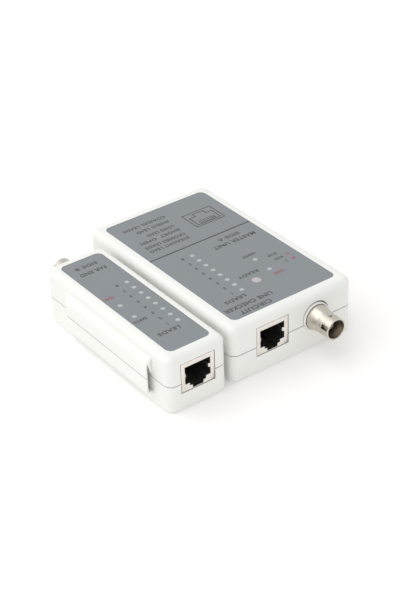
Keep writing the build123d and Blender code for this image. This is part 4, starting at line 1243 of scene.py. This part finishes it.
# ---------------------------------------------------------------- studio
@dataclass(frozen=True)
class Lamp:
    """A soft box.

    Attributes:
        name: Its name.
        direction: Where it stands, from the object.
        distance: How far away, in metres.
        size: Side of its square, in metres.
        power: In watts.
    """

    name: str
    direction: tuple[float, float, float]
    distance: float
    size: float
    power: float

    def build(self) -> None:
        """Makes the light and turns it to the object."""
        data = bpy.data.lights.new(self.name, "AREA")
        data.size = self.size
        data.energy = self.power
        light = bpy.data.objects.new(self.name, data)
        bpy.context.scene.collection.objects.link(light)
        way = Vector(self.direction).normalized()
        light.location = way * self.distance
        light.rotation_mode = "QUATERNION"
        light.rotation_quaternion = way.to_track_quat("Z", "Y")
        log.info("light %s", self.name)


@dataclass
class Studio:
    """Pale floor, soft light and the camera.

    Attributes:
        eye: The camera's place, in millimetres.
        heading: Its heading from +Y towards +X, in radians.
        dip: How far it looks down, in radians.
        tilt: Its roll, in radians.
        lens: Focal length, in millimetres.
        sensor: Long side of its sensor, in millimetres.
        floor_side: Side of the floor, in metres.
        floor_colour: Its colour.
        floor_light: Colour of its glow.
        floor_glow: How much the floor lightens its own shadows.
        floor_drop: How far it lies under the object, in millimetres.
        floor_reach: Rays shorter than this pass through it, in millimetres.
        sky: Strength of the even light all round.
        lamps: The soft boxes.
    """

    eye: tuple[float, float, float] = (-321.0, -437.6, 358.2)
    heading: float = 0.619
    dip: float = 0.581
    tilt: float = 0.039
    lens: float = 90.84
    sensor: float = 36.0
    floor_side: float = 6.0
    floor_colour: Colour = (0.92, 0.913, 0.905)
    floor_light: Colour = (1.0, 0.995, 0.985)
    floor_glow: float = 0.065
    floor_drop: float = 0.02
    floor_reach: float = 0.32
    sky: float = 0.77
    lamps: tuple[Lamp, ...] = (
        Lamp("key", (-0.55, 0.3, 1.0), 1.3, 1.6, 8.9),
        Lamp("front", (-0.6, -1.0, 0.6), 1.6, 0.8, 1.7),
    )

    def camera(self) -> None:
        """Sets up the camera."""
        data = bpy.data.cameras.new("camera")
        data.lens = self.lens
        data.sensor_width = self.sensor
        data.clip_start, data.clip_end = 0.01, 20.0
        camera = bpy.data.objects.new("camera", data)
        bpy.context.scene.collection.objects.link(camera)
        sine, cosine = math.sin(self.heading), math.cos(self.heading)
        down_sine, down_cosine = math.sin(self.dip), math.cos(self.dip)
        right = Vector((cosine, -sine, 0.0))
        down = Vector((-down_sine * sine, -down_sine * cosine, -down_cosine))
        forward = Vector((sine * down_cosine, cosine * down_cosine, -down_sine))
        turn_right = math.cos(self.tilt) * right + math.sin(self.tilt) * down
        turn_down = -math.sin(self.tilt) * right + math.cos(self.tilt) * down
        axes = Matrix((turn_right, -turn_down, -forward)).transposed()
        camera.matrix_world = Matrix.Translation(Vector(self.eye) * MM) @ axes.to_4x4()
        bpy.context.scene.camera = camera
        log.info("camera")

    def floor(self) -> None:
        """Lays the floor, which is clear from below and to rays that start on it."""
        clear_bench()
        bpy.ops.mesh.primitive_plane_add(size=self.floor_side, location=(0.0, 0.0, -self.floor_drop * MM))
        floor = bpy.context.object
        floor.name = "floor"
        made = bpy.data.materials.new("floor")
        made.use_nodes = True
        made.node_tree.nodes.clear()
        tree = Tree(made.node_tree)
        sheet = tree.node("ShaderNodeBsdfDiffuse")
        tree.feed(sheet, Color=(*self.floor_colour, 1.0))
        glow = tree.node("ShaderNodeEmission")
        tree.feed(glow, Color=(*self.floor_light, 1.0), Strength=self.floor_glow)
        paper = tree.node("ShaderNodeAddShader")
        tree.join(sheet.outputs[0], paper.inputs[0])
        tree.join(glow.outputs[0], paper.inputs[1])
        mix = tree.node("ShaderNodeMixShader")
        length = tree.node("ShaderNodeLightPath").outputs["Ray Length"]
        touching = tree.reckon("LESS_THAN", length, self.floor_reach * MM)
        below = tree.node("ShaderNodeNewGeometry").outputs["Backfacing"]
        tree.join(tree.reckon("MAXIMUM", below, touching), mix.inputs[0])
        tree.join(paper.outputs[0], mix.inputs[1])
        tree.join(tree.node("ShaderNodeBsdfTransparent").outputs[0], mix.inputs[2])
        tree.join(mix.outputs[0], tree.node("ShaderNodeOutputMaterial").inputs["Surface"])
        floor.data.materials.append(made)

    def world(self) -> None:
        """Sets the even light all round."""
        world = bpy.data.worlds.new("studio")
        world.use_nodes = True
        light = world.node_tree.nodes["Background"].inputs
        light["Color"].default_value = (1.0, 1.0, 1.0, 1.0)
        light["Strength"].default_value = self.sky
        bpy.context.scene.world = world
        bpy.context.scene.view_settings.view_transform = "Standard"

    def build(self) -> None:
        """Makes the whole studio."""
        self.camera()
        self.floor()
        self.world()
        for lamp in self.lamps:
            lamp.build()


def main() -> None:
    """Builds the studio, the finishes and every piece, in order."""
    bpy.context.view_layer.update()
    Studio().build()
    dress_frame()
    MainLabelPrint(Unit.MAIN, MAIN_WORDS).build()
    LabelPrint(Unit.REMOTE, REMOTE_WORDS).build()
    for lamps in LAMPS:
        lamps.build()
    for unit in Unit:
        DataSocket(unit).build()


if __name__ == "__main__":
    main()
